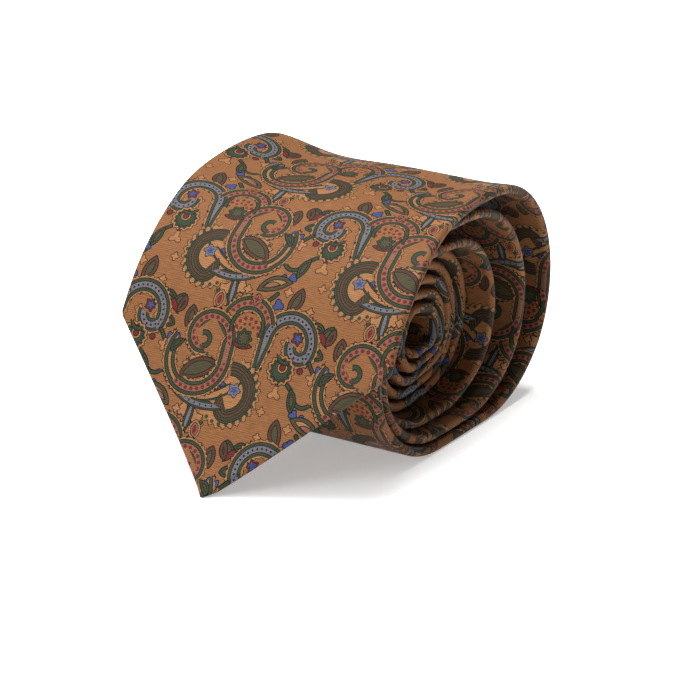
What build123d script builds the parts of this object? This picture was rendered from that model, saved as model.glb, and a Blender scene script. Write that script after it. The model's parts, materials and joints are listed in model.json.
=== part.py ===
"""A printed silk necktie, rolled up with its wide end outside, lying on a table.

Frame: +X along the roll's axis, the loose wide end hangs towards -Y, +Z up. The origin is at the
bottom centre of the whole tie's bounding box. Millimetres and degrees.

The tie is one long flat tube of silk with a wool interlining inside. It is described by the line
that its outer face follows in the YZ plane, from the point on the table, up the hanging end, over
the top, and round and round to the tail. `inner` distances are measured from that outer face
towards the middle of the roll. Each half turn is extruded along X and then cut to the tie's width,
which shrinks from the wide end to the neck and grows a little again at the tail.
"""

import math
import os
from dataclasses import dataclass

from build123d import *

# --- the tie, laid flat -------------------------------------------------------------------------
BLADE_WIDTH = 92.0  # across the two corners of the wide end
NECK_WIDTH = 36.0
TAIL_WIDTH = 42.0
TAPER = 0.07  # width lost for each mm of length above the corners
TAIL_TAPER = 0.018  # width gained for each mm of the tail
THICKNESS = 3.0  # silk, interlining, silk
SILK = 0.4  # one wall of the silk tube
LINING_GAP = 0.3  # air between the front silk and the interlining, where seam edges lie
SEAM_SLIT = 0.5  # between the two folded silk edges down the middle of the back
THREAD = 0.3

# --- the roll, seen from its end ----------------------------------------------------------------
TIP_HEADING = 50.0  # slope of the hanging end where its point meets the table
SLOPE = 63.0  # slope of the flat part of the hanging end
TIP_CURL_LENGTH = 18.0
SHOULDER_RADIUS = 53.0
CREST_HEADING = 8.0  # slope where the blade starts to lift off the roll
CREST_LENGTH = 21.0
TOP_RADIUS = 120.0  # the tops of the turns are gently arched; the bottoms lie flat
FIRST_TOP_RUN = 13.0  # from the crest to the back of the first turn
# Radius and centre along Y of each half turn's bend, from outside in: back, front, back, ...
OUTER_BENDS = [(38.0, 28.0), (35.2, -0.3), (33.4, 17.4), (30.0, -0.5), (28.2, 8.8)]
INNER_CENTRE = 4.15  # of the tight middle, and how far apart its bends are for their radius
INNER_FLATNESS = 0.35
PITCH = 3.9  # from one turn to the next in the tight middle
CORE_RADIUS = 5.2
# Sideways drift of the middle of the tie along its length, as the roll wanders: (length, drift).
DRIFT = [(0, -5.0), (46, 0.0), (90, -1.0), (200, -7.0), (400, 0.5), (660, 7.5), (900, 5.5)]
# The half turns at whose ends the blade meets the neck, and the neck meets the tail.
BLADE_HALF_TURNS = 4
NECK_HALF_TURNS = 4

# --- trimmings ----------------------------------------------------------------------------------
HEM = 7.0  # silk turned in round the point, beside the tipping
TACK_AT = 82.0  # from the point to where the folded edges meet
SEAM_ALLOWANCE = 6.0
LINING_INSET = 0.5  # between the silk's folds and the interlining's edges
LINING_BACK_GAP = 0.4  # between the interlining and the silk at the back
TIPPING_THICK = 0.3
TIPPING_GAP = 0.05  # between the tipping and the silk that covers its edges
TIPPING_INSET = 1.0  # between the silk's folds and the tipping's edges
TIPPING_UNDER = HEM / 2  # how far the tipping reaches under the turned-in silk
HEM_STITCH_ROW = (1.1, 1.5)  # the row's inner and outer distance from the hem's edge
SEWN_GAP = 0.02  # air under a thread or a trimming, so that it is a piece of its own
TACK_AFTER = 6.0  # from where the folded edges meet to the bar tack
TACK_LENGTH = 2.0
TACK_TOP = 0.8  # height of a bar tack above the silk
TACK_HALF_WIDTH = 4.0
TAIL_TACK_HALF_WIDTH = 3.0
RESERVE = {"start": 20.0, "end": 6.0, "half_width": 1.8, "loop": 0.5}  # below TACK_AT
TRIM_STITCH_INSET = 1.5  # from a label's or loop's edge to the middle of its stitches
TRIM_STITCH_HALF = 0.5
TRIM_STITCH_END = 1.0  # from a label's or loop's end to its stitches
LABEL = {"at": 150.0, "length": 24.0, "half_width": 27.0, "thick": 0.4}
KEEPER = {"at": 196.0, "length": 12.0, "half_width": 25.0, "thick": 0.7}
CARE_LABEL = {"at": 176.0, "length": 16.0, "half_width": 9.0, "thick": 0.3}

ROOM = 60.0  # half the length of every extrusion along X before it is cut to width
TIP_START = 4.0  # how far the hanging end is drawn below its point before it is cut
CUT_PAST = 0.5  # how far a cut reaches past the face it opens
SLANTED = 1.4  # an inset measured along the tie at its 45 degree point, for 1 mm square to the edge


@dataclass
class Span:
    """One straight run or arc of the line that the tie's outer face follows."""

    y: float
    z: float
    heading: float
    length: float
    radius: float = 0.0  # 0 is straight, above 0 bends towards the middle of the roll, below 0 away

    def at(self, along, inner=0.0):
        """The point `along` from the span's start, `inner` inside the outer face."""
        turned = math.radians(self.heading)
        y, z = self.y, self.z
        if self.radius:
            start = math.radians(self.heading)
            turned = start - along / self.radius
            y += self.radius * (math.sin(start) - math.sin(turned))
            z += self.radius * (math.cos(turned) - math.cos(start))
        else:
            y += along * math.cos(turned)
            z += along * math.sin(turned)
        return y + inner * math.sin(turned), z - inner * math.cos(turned)

    def heading_at(self, along):
        return self.heading - (math.degrees(along / self.radius) if self.radius else 0.0)

    def part(self, start, end):
        """The same line between two lengths from its start."""
        y, z = self.at(start)
        return Span(y, z, self.heading_at(start), end - start, self.radius)


def follow(runs, y, z, heading):
    """Spans end to end from (length, radius) pairs."""
    spans = []
    for length, radius in runs:
        spans.append(Span(y, z, heading, length, radius))
        y, z = spans[-1].at(length)
        heading = spans[-1].heading_at(length)
    return spans


def arc(radius, degrees):
    """The (length, radius) of an arc that turns by that many degrees."""
    return abs(radius) * math.radians(degrees), radius


def half_turns():
    """(bend radius, run before it, run after it) for each half turn, from outside in."""
    bends = list(OUTER_BENDS)
    while bends[-1][0] - PITCH / 2 > CORE_RADIUS:
        radius = bends[-1][0] - PITCH / 2
        apart = INNER_FLATNESS * radius / 2
        bends.append((radius, INNER_CENTRE + (-apart if len(bends) % 2 else apart)))
    runs = [2 * FIRST_TOP_RUN]
    for number, ((radius, centre), (next_radius, next_centre)) in enumerate(zip(bends, bends[1:])):
        arched = number % 2  # the runs over the top are arched, so they are longer
        shortening = (radius + next_radius) / (2 * TOP_RADIUS) if arched else 0.0
        runs.append(abs(next_centre - centre) / (1 - shortening))
    runs.append(runs[-2])
    return [(bend[0], runs[k] / 2, runs[k + 1] / 2) for k, bend in enumerate(bends)]


def half_turn_runs(index, radius, before, after):
    """(length, radius) pairs of one half turn: even ones go down the back, odd ones up the front."""
    arched, flat = math.degrees(before / TOP_RADIUS), 0.0
    if index % 2:
        arched, flat = flat, math.degrees(after / TOP_RADIUS)
    runs = [(before, TOP_RADIUS if index % 2 == 0 else 0.0)]
    runs.append(arc(radius, 180 - arched - flat))
    runs.append((after, TOP_RADIUS if index % 2 else 0.0))
    return runs


def rise(radius, start, end):
    """How far a bend climbs between two headings."""
    return radius * (math.cos(math.radians(end)) - math.cos(math.radians(start)))


# The first half turn comes down to the table, so the hanging end has to be as tall as it.
TURNS = half_turns()
first_radius, first_before, _ = TURNS[0]
first_arch = math.degrees(first_before / TOP_RADIUS)
FIRST_DROP = -rise(TOP_RADIUS, 0, -first_arch) - rise(first_radius, -first_arch, -180)
CREST_RADIUS = CREST_LENGTH / math.radians(CREST_HEADING)
TIP_CURL_RADIUS = -TIP_CURL_LENGTH / math.radians(SLOPE - TIP_HEADING)
CURVED_RISE = (
    rise(TIP_CURL_RADIUS, TIP_HEADING, SLOPE)
    + rise(SHOULDER_RADIUS, SLOPE, CREST_HEADING)
    + rise(CREST_RADIUS, CREST_HEADING, 0)
)
SLOPE_LENGTH = (FIRST_DROP - CURVED_RISE) / math.sin(math.radians(SLOPE))

hanging = follow(
    [
        (TIP_CURL_LENGTH, TIP_CURL_RADIUS),
        (SLOPE_LENGTH, 0.0),
        arc(SHOULDER_RADIUS, SLOPE - CREST_HEADING),
    ],
    0.0,
    0.0,
    TIP_HEADING,
)
HINGE_AT = sum(span.length for span in hanging)  # where the blade lifts off the roll
crest_y, crest_z = hanging[-1].at(hanging[-1].length)
crest = follow([(CREST_LENGTH, CREST_RADIUS)], crest_y, crest_z, CREST_HEADING)

sections = [crest]
for number, turn in enumerate(TURNS):
    last = sections[-1][-1]
    end_y, end_z = last.at(last.length)
    sections.append(
        follow(half_turn_runs(number, *turn), end_y, end_z, last.heading_at(last.length))
    )

# Slide the whole roll along Y, so that the origin is under the middle of the tie.
back_of_roll = max(span.at(span.length * k / 40)[0] for span in sections[1] for k in range(41))
SHIFT_Y = -back_of_roll / 2
for span in [*hanging, *(span for section in sections for span in section)]:
    span.y += SHIFT_Y

LINE = [*hanging, *(span for section in sections for span in section)]
TIE_LENGTH = sum(span.length for span in LINE)


def drift(length):
    """The middle of the tie's X at a length from the point."""
    for (start, low), (end, high) in zip(DRIFT, DRIFT[1:]):
        if length <= end:
            return low + (high - low) * (length - start) / (end - start)
    return DRIFT[-1][1]


def width(length):
    """The tie's width at a length from the point, above the corners of the wide end."""
    narrowing = BLADE_WIDTH - TAPER * (length - BLADE_WIDTH / 2)
    widening = TAIL_WIDTH - TAIL_TAPER * (TIE_LENGTH - TAIL_WIDTH / 2 - length)
    return max(narrowing, min(widening, TAIL_WIDTH), NECK_WIDTH)


def stretch(start, end):
    """The spans of the tie's line between two lengths from the point."""
    spans, passed = [], 0.0
    for span in LINE:
        low, high = max(start - passed, 0.0), min(end - passed, span.length)
        if high > low:
            spans.append(span.part(low, high))
        passed += span.length
    return spans


def strip(spans, outer, inner, low_x=-ROOM, high_x=ROOM):
    """Cloth that follows the spans between two distances inside the outer face."""
    with BuildPart() as piece:
        with BuildSketch(Plane.YZ.offset(low_x)):
            with BuildLine():
                for depth in (outer, inner):
                    for span in spans:
                        start, middle, end = (span.at(span.length * k / 2, depth) for k in range(3))
                        if span.radius:
                            ThreePointArc(start, middle, end)
                        else:
                            Line(start, end)
                Line(spans[0].at(0, outer), spans[0].at(0, inner))
                Line(spans[-1].at(spans[-1].length, outer), spans[-1].at(spans[-1].length, inner))
            make_face()
        extrude(amount=high_x - low_x)
    return piece.part


def cut_to(cloth, outline, plane=Plane.XZ):
    """What is left of a strip of cloth inside an outline drawn on a plane through the roll."""
    with BuildPart() as piece:
        add(cloth)
        with BuildSketch(plane):
            with BuildLine():
                Polyline(*outline, close=True)
            make_face()
        extrude(amount=3 * ROOM, both=True, mode=Mode.INTERSECT)
    return piece.part


def section_cloth(spans, start, outer, inner, half):
    """One section of the tie, with `half(length)` as half its width on each side of the middle."""
    end = start + sum(span.length for span in spans)
    (first_y, first_z), (last_y, last_z) = spans[0].at(0), spans[-1].at(spans[-1].length)
    lying = abs(last_z - first_z) < 2 * THICKNESS
    low, high = (first_y, last_y) if lying else (first_z, last_z)
    # A standing section keeps its end width where it turns level, so that the turns meet.
    flat = 0.0 if lying else min(1.5 * THICKNESS, 0.3 * abs(high - low))
    level = math.copysign(flat, high - low)
    past = math.copysign(THICKNESS, high - low)
    sides = []
    for side in (-1, 1):
        first, last = (drift(at) + side * half(at) for at in (start, end))
        edge = [(first, low - past), (first, low + level), (last, high - level), (last, high + past)]
        sides += edge if side < 0 else edge[::-1]
    return cut_to(strip(spans, outer, inner), sides, Plane.XY if lying else Plane.XZ)


def wound(first, last, outer, inner, half):
    """The tie's sections from one to the next, as a list of solids to be joined."""
    solids = []
    passed = HINGE_AT + sum(span.length for section in sections[:first] for span in section)
    for section in sections[first:last]:
        solids.append(section_cloth(section, passed, outer, inner, half))
        passed += sum(span.length for span in section)
    return solids


def inside_edges(inset):
    """Half the tie's width, less the same inset at both edges."""
    return lambda at: width(at) / 2 - inset


def in_the_middle(half):
    """A narrow strip down the middle of the tie."""
    return lambda at: half


def finish(piece, name):
    """Labels a finished piece and writes its STEP."""
    piece.part.label = name
    export_step(piece.part, f"parts/{name}.step")


os.makedirs("parts", exist_ok=True)
CAVITY = (SILK, THICKNESS - SILK)
LINING = (SILK + LINING_GAP, THICKNESS - SILK - LINING_BACK_GAP)
TIPPING = (THICKNESS - SILK - TIPPING_GAP - TIPPING_THICK, THICKNESS - SILK - TIPPING_GAP)
BACK_SILK = (THICKNESS - SILK - SEWN_GAP / 2, THICKNESS + CUT_PAST)
ON_BACK = THICKNESS + SEWN_GAP
HEM_THREAD = (ON_BACK, ON_BACK + THREAD)
BAR_TACK = (ON_BACK, THICKNESS + TACK_TOP)
BLADE_END = 1 + BLADE_HALF_TURNS
NECK_END = BLADE_END + NECK_HALF_TURNS
LAST = len(sections) - 1
section_ends = [HINGE_AT]
for section in sections:
    section_ends.append(section_ends[-1] + sum(span.length for span in section))

# --- the hanging point of the wide end ----------------------------------------------------------
tip_x, corner_x, hinge_x = drift(0), drift(BLADE_WIDTH / 2), drift(HINGE_AT)
corner_z = stretch(BLADE_WIDTH / 2, BLADE_WIDTH)[0].at(0)[1]
hinge_z = crest[0].z
# The strip starts a little below the table, so that its back also reaches down to the point.
below_tip = Span(*hanging[0].at(0), TIP_HEADING, TIP_START)
HANGING = [Span(*below_tip.at(-TIP_START), TIP_HEADING, TIP_START), *hanging]


def point_outline(inset):
    """The wide end from the front: its point, its corners and the line where it leaves the roll."""
    half_corner, half_hinge = BLADE_WIDTH / 2 - inset, width(HINGE_AT) / 2 - inset
    return [
        (tip_x, inset * SLANTED),
        (corner_x + half_corner, corner_z),
        (hinge_x + half_hinge, hinge_z - 2 * THICKNESS),
        (hinge_x + half_hinge, hinge_z + THICKNESS),
        (hinge_x - half_hinge, hinge_z + THICKNESS),
        (hinge_x - half_hinge, hinge_z - 2 * THICKNESS),
        (corner_x - half_corner, corner_z),
    ]


tack_span = stretch(TACK_AT, HINGE_AT)[0]
open_top_z = tack_span.at(0, THICKNESS)[1]
tack_x = drift(TACK_AT)


def opening_outline(inset):
    """The open part of the point's back, where the tipping shows."""
    half = BLADE_WIDTH / 2 - HEM - inset
    return [
        (tip_x, (HEM + inset) * SLANTED),
        (corner_x + half, corner_z + THICKNESS),
        (tack_x, open_top_z - inset * SLANTED),
        (corner_x - half, corner_z + THICKNESS),
    ]


seam_on_point = stretch(TACK_AT - 1, HINGE_AT)
with BuildPart() as point_shell:
    add(cut_to(strip(HANGING, 0, THICKNESS), point_outline(0)))
    add(cut_to(strip(HANGING, *CAVITY), point_outline(SILK)), mode=Mode.SUBTRACT)
    add(cut_to(strip(HANGING, *BACK_SILK), opening_outline(0)), mode=Mode.SUBTRACT)
    add(
        strip(seam_on_point, *BACK_SILK, tack_x - SEAM_SLIT / 2, tack_x + SEAM_SLIT / 2),
        mode=Mode.SUBTRACT,
    )
finish(point_shell, "point_shell")

with BuildPart() as front_tipping:
    tipping = cut_to(strip(HANGING, *TIPPING), point_outline(SILK + TIPPING_INSET))
    add(cut_to(tipping, opening_outline(-TIPPING_UNDER)))
finish(front_tipping, "front_tipping")

with BuildPart() as point_interlining:
    add(cut_to(strip(HANGING, *LINING), point_outline(SILK + LINING_INSET)))
finish(point_interlining, "point_interlining")

with BuildPart() as front_hem_stitches:
    thread = strip(HANGING, *HEM_THREAD)
    add(cut_to(thread, opening_outline(-HEM_STITCH_ROW[1])))
    add(cut_to(thread, opening_outline(-HEM_STITCH_ROW[0])), mode=Mode.SUBTRACT)
finish(front_hem_stitches, "front_hem_stitches")

with BuildPart() as front_bar_tack:
    tack = stretch(TACK_AT + TACK_AFTER, TACK_AT + TACK_AFTER + TACK_LENGTH)
    add(strip(tack, *BAR_TACK, tack_x - TACK_HALF_WIDTH, tack_x + TACK_HALF_WIDTH))
finish(front_bar_tack, "front_bar_tack")

with BuildPart() as thread_reserve:
    start, end = TACK_AT - RESERVE["start"], TACK_AT - RESERVE["end"]
    half, thread = RESERVE["half_width"], RESERVE["loop"]
    top = THICKNESS - TIPPING_GAP
    add(strip(stretch(start, end), top - THREAD, top, tack_x - half, tack_x + half))
    space = stretch(start + thread, end - thread)
    low_x, high_x = tack_x - half + thread, tack_x + half - thread
    add(strip(space, top - 2 * THREAD, top + THREAD, low_x, high_x), mode=Mode.SUBTRACT)
finish(thread_reserve, "thread_reserve")

# --- the silk of the wound blade, the neck and the tail -----------------------------------------
with BuildPart() as blade_shell:
    for solid in wound(0, BLADE_END, 0, THICKNESS, inside_edges(0)):
        add(solid)
    for solid in wound(0, BLADE_END, *CAVITY, inside_edges(SILK)):
        add(solid, mode=Mode.SUBTRACT)
    for solid in wound(0, BLADE_END, *BACK_SILK, in_the_middle(SEAM_SLIT / 2)):
        add(solid, mode=Mode.SUBTRACT)
finish(blade_shell, "blade_shell")

with BuildPart() as neck_shell:
    for solid in wound(BLADE_END, NECK_END, 0, THICKNESS, inside_edges(0)):
        add(solid)
    for solid in wound(BLADE_END, NECK_END, *CAVITY, inside_edges(SILK)):
        add(solid, mode=Mode.SUBTRACT)
    for solid in wound(BLADE_END, NECK_END, *BACK_SILK, in_the_middle(SEAM_SLIT / 2)):
        add(solid, mode=Mode.SUBTRACT)
finish(neck_shell, "neck_shell")


def tail_point(outer, inner, inset):
    """The last half turn of the tail, cut to its point."""
    (_, low), (_, high) = sections[-1][0].at(0), sections[-1][-1].at(sections[-1][-1].length)
    middle, half = drift(TIE_LENGTH), TAIL_WIDTH / 2 - inset
    outline = [
        (middle - half, low - THICKNESS),
        (middle - half, low + THICKNESS + CUT_PAST),
        (middle, high - inset * SLANTED),
        (middle + half, low + THICKNESS + CUT_PAST),
        (middle + half, low - THICKNESS),
    ]
    return cut_to(strip(sections[-1], outer, inner), outline)


with BuildPart() as tail_shell:
    for solid in wound(NECK_END, LAST, 0, THICKNESS, inside_edges(0)):
        add(solid)
    add(tail_point(0, THICKNESS, 0))
    for solid in wound(NECK_END, LAST, *CAVITY, inside_edges(SILK)):
        add(solid, mode=Mode.SUBTRACT)
    add(tail_point(*CAVITY, SILK), mode=Mode.SUBTRACT)
    for solid in wound(NECK_END, LAST, *BACK_SILK, in_the_middle(SEAM_SLIT / 2)):
        add(solid, mode=Mode.SUBTRACT)
    add(tail_point(*BACK_SILK, HEM / 2), mode=Mode.SUBTRACT)
finish(tail_shell, "tail_shell")

# --- inside the silk ----------------------------------------------------------------------------
LINING_END = NECK_END - 2
with BuildPart() as blade_interlining:
    for solid in wound(0, LINING_END, *LINING, inside_edges(SILK + LINING_INSET)):
        add(solid)
finish(blade_interlining, "blade_interlining")

with BuildPart() as tail_interlining:
    for solid in wound(LINING_END, LAST, *LINING, inside_edges(SILK + LINING_INSET)):
        add(solid)
    add(tail_point(*LINING, SILK + LINING_INSET))
finish(tail_interlining, "tail_interlining")

with BuildPart() as tail_tipping:
    add(tail_point(*TIPPING, SILK + TIPPING_INSET))
finish(tail_tipping, "tail_tipping")

for name, joint in [
    ("blade_neck_seam", section_ends[BLADE_END]),
    ("neck_tail_seam", section_ends[NECK_END]),
]:
    half = width(joint) / 2 - SILK - TIPPING_INSET
    allowance = stretch(joint - SEAM_ALLOWANCE, joint + SEAM_ALLOWANCE)
    under = (SILK + SEWN_GAP, SILK + LINING_GAP - SEWN_GAP)
    with BuildPart() as seam:
        add(strip(allowance, *under, drift(joint) - half, drift(joint) + half))
    finish(seam, name)

with BuildPart() as slip_stitch:
    for solid in wound(0, LAST, *TIPPING, in_the_middle(THREAD / 2)):
        add(solid)
finish(slip_stitch, "slip_stitch")

# --- on the back of the wound blade, and at the tail ---------------------------------------------
for name, item in [("brand_label", LABEL), ("keeper_loop", KEEPER)]:
    with BuildPart() as trim:
        spans = stretch(item["at"], item["at"] + item["length"])
        middle = drift(item["at"])
        half = item["half_width"]
        add(strip(spans, ON_BACK, ON_BACK + item["thick"], middle - half, middle + half))
    finish(trim, name)
    with BuildPart() as stitches:
        for side in (-1, 1):
            edge = middle + side * (half - TRIM_STITCH_INSET)
            low_x, high_x = edge - TRIM_STITCH_HALF, edge + TRIM_STITCH_HALF
            first, last = item["at"] + TRIM_STITCH_END, item["at"] + item["length"] - TRIM_STITCH_END
            top = ON_BACK + item["thick"] + SEWN_GAP
            add(strip(stretch(first, last), top, top + THREAD, low_x, high_x))
    finish(stitches, f"{name}_stitches")

with BuildPart() as care_label:
    spans = stretch(CARE_LABEL["at"], CARE_LABEL["at"] + CARE_LABEL["length"])
    middle = drift(CARE_LABEL["at"])
    half = CARE_LABEL["half_width"]
    add(strip(spans, ON_BACK, ON_BACK + CARE_LABEL["thick"], middle - half, middle + half))
finish(care_label, "care_label")

with BuildPart() as tail_bar_tack:
    tack_at = TIE_LENGTH - TAIL_WIDTH
    tack = stretch(tack_at, tack_at + TACK_LENGTH)
    middle = drift(tack_at)
    add(strip(tack, *BAR_TACK, middle - TAIL_TACK_HALF_WIDTH, middle + TAIL_TACK_HALF_WIDTH))
finish(tail_bar_tack, "tail_bar_tack")
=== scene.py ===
"""A printed silk necktie, rolled up from its narrow tail, with the wide end hanging over the roll.

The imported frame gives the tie's bodies and its hidden solids. This script lays the real cloth over
them: the printed silk as one folded sheet with turned-in edges, the linings, stitches, keeper loop
and labels, all placed by one line that winds through the roll.
"""

from __future__ import annotations

import json
import logging
import math
from dataclasses import dataclass, field
from enum import Enum
from typing import Sequence

import bpy
import numpy as np
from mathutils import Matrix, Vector


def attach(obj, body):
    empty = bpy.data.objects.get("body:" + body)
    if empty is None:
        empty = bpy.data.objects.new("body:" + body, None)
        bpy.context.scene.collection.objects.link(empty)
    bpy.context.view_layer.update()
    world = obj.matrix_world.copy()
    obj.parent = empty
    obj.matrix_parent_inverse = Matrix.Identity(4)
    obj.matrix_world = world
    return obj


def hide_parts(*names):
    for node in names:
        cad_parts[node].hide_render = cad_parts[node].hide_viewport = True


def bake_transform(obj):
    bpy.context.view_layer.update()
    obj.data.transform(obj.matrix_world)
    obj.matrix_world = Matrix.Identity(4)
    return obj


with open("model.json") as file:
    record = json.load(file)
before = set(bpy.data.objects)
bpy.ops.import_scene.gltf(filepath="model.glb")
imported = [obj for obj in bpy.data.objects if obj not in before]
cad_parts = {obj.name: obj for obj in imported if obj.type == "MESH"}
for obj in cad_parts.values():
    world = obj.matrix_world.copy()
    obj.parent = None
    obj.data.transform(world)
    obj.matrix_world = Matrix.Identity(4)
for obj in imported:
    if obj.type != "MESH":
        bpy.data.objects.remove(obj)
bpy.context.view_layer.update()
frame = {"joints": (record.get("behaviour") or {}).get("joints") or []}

LOG = logging.getLogger("necktie")
MM = 0.001
Colour = tuple[float, float, float, float]


# --- the cloth's line through the roll ----------------------------------------------------------


@dataclass(frozen=True)
class TieCut:
    """The tie laid flat, in millimetres: its widths and where its pieces meet."""

    blade_width: float = 94.5
    neck_width: float = 36.0
    tail_width: float = 42.0
    taper: float = 0.07
    tail_taper: float = 0.018
    thickness: float = 2.9
    wall: float = 0.35
    hem: float = 8.0
    tack_at: float = 82.0
    drift: tuple[tuple[float, float], ...] = (
        (0, -5.0), (46, -2.4), (84, -2.2), (104, -5.6), (122, -7.4), (200, -7.0), (400, 0.5),
        (660, 7.5), (900, 5.5),
    )

    def half_width(self, s: np.ndarray, length: float) -> np.ndarray:
        """Half the tie's width at distances from the point.

        Args:
            s: Distances from the point of the wide end.
            length: The tie's whole length.

        Returns:
            Half widths, drawn in to a right angle at both ends.
        """
        narrowing = self.blade_width - self.taper * (s - self.blade_width / 2)
        widening = np.minimum(
            self.tail_width - self.tail_taper * (length - self.tail_width / 2 - s), self.tail_width
        )
        full = np.maximum(np.maximum(narrowing, widening), self.neck_width)
        return np.minimum(np.minimum(full / 2, s), length - s)

    def middle(self, s: np.ndarray) -> np.ndarray:
        """How far the tie's centre line has drifted along the roll at distances from the point."""
        places, drifts = zip(*self.drift)
        return np.interp(s, places, drifts)

    def opening(self, s: np.ndarray) -> np.ndarray:
        """Half the width of the gap in the point's back, where the tipping shows.

        Args:
            s: Distances from the point, in mm.

        Returns:
            Half widths, in mm.
        """
        half = self.blade_width / 2
        lower = s - self.hem * math.sqrt(2)
        upper = (half - self.hem) * (self.tack_at - s) / (self.tack_at - half)
        return np.maximum(np.minimum(lower, upper), 0.0)


@dataclass(frozen=True)
class RollShape:
    """The bends of the roll seen from its end, in millimetres and degrees."""

    tip_heading: float = 50.0
    slope: float = 63.0
    tip_curl: float = 18.0
    shoulder_radius: float = 53.0
    crest_heading: float = 8.0
    crest_length: float = 21.0
    top_radius: float = 120.0
    first_top_run: float = 13.0
    outer_bends: tuple[tuple[float, float], ...] = (
        (38.0, 28.0), (35.2, -0.3), (33.4, 17.4), (30.0, -0.5), (28.2, 8.8),
    )
    inner_centre: float = 4.15
    inner_flatness: float = 0.35
    pitch: float = 3.9
    core_radius: float = 5.2

    def bends(self) -> list[tuple[float, float]]:
        """Radius and centre of every half turn's bend, from outside in.

        Returns:
            (radius, centre) pairs, in mm.
        """
        bends = list(self.outer_bends)
        while bends[-1][0] - self.pitch / 2 > self.core_radius:
            radius = bends[-1][0] - self.pitch / 2
            apart = self.inner_flatness * radius / 2
            bends.append((radius, self.inner_centre + (-apart if len(bends) % 2 else apart)))
        return bends

    def runs(self) -> list[tuple[float, float]]:
        """(length, radius) of each stretch from the crest inwards; radius 0 is straight.

        Returns:
            (length, radius) pairs, in mm.
        """
        bends = self.bends()
        between = [2 * self.first_top_run]
        for number, ((radius, at), (next_radius, next_at)) in enumerate(zip(bends, bends[1:])):
            arch = (radius + next_radius) / (2 * self.top_radius) if number % 2 else 0.0
            between.append(abs(next_at - at) / (1 - arch))
        between.append(between[-2])
        stretches = []
        for number, (radius, _) in enumerate(bends):
            before, after = between[number] / 2, between[number + 1] / 2
            rising = number % 2
            arched = (after if rising else before) / self.top_radius
            stretches.append((before, 0.0 if rising else self.top_radius))
            stretches.append((radius * (math.pi - arched), radius))
            stretches.append((after, self.top_radius if rising else 0.0))
        return stretches

    def hanging(self) -> list[tuple[float, float]]:
        """(length, radius) of each stretch from the point on the table up to the crest.

        Returns:
            (length, radius) pairs, in mm; radius 0 is straight.
        """
        crest_radius = self.crest_length / math.radians(self.crest_heading)
        curl_radius = -self.tip_curl / math.radians(self.slope - self.tip_heading)
        first, top = self.outer_bends[0][0], self.first_top_run / self.top_radius
        drop = self.top_radius * (1 - math.cos(top)) + first * (1 + math.cos(top))

        def climb(radius: float, start: float, end: float) -> float:
            """Height gained on a bend between two headings, in mm."""
            return radius * (math.cos(math.radians(end)) - math.cos(math.radians(start)))

        curved = climb(curl_radius, self.tip_heading, self.slope)
        curved += climb(self.shoulder_radius, self.slope, self.crest_heading)
        curved += climb(crest_radius, self.crest_heading, 0)
        straight = (drop - curved) / math.sin(math.radians(self.slope))
        turn = math.radians(self.slope - self.crest_heading)
        return [
            (self.tip_curl, curl_radius),
            (straight, 0.0),
            (self.shoulder_radius * turn, self.shoulder_radius),
            (self.crest_length, crest_radius),
        ]


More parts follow.
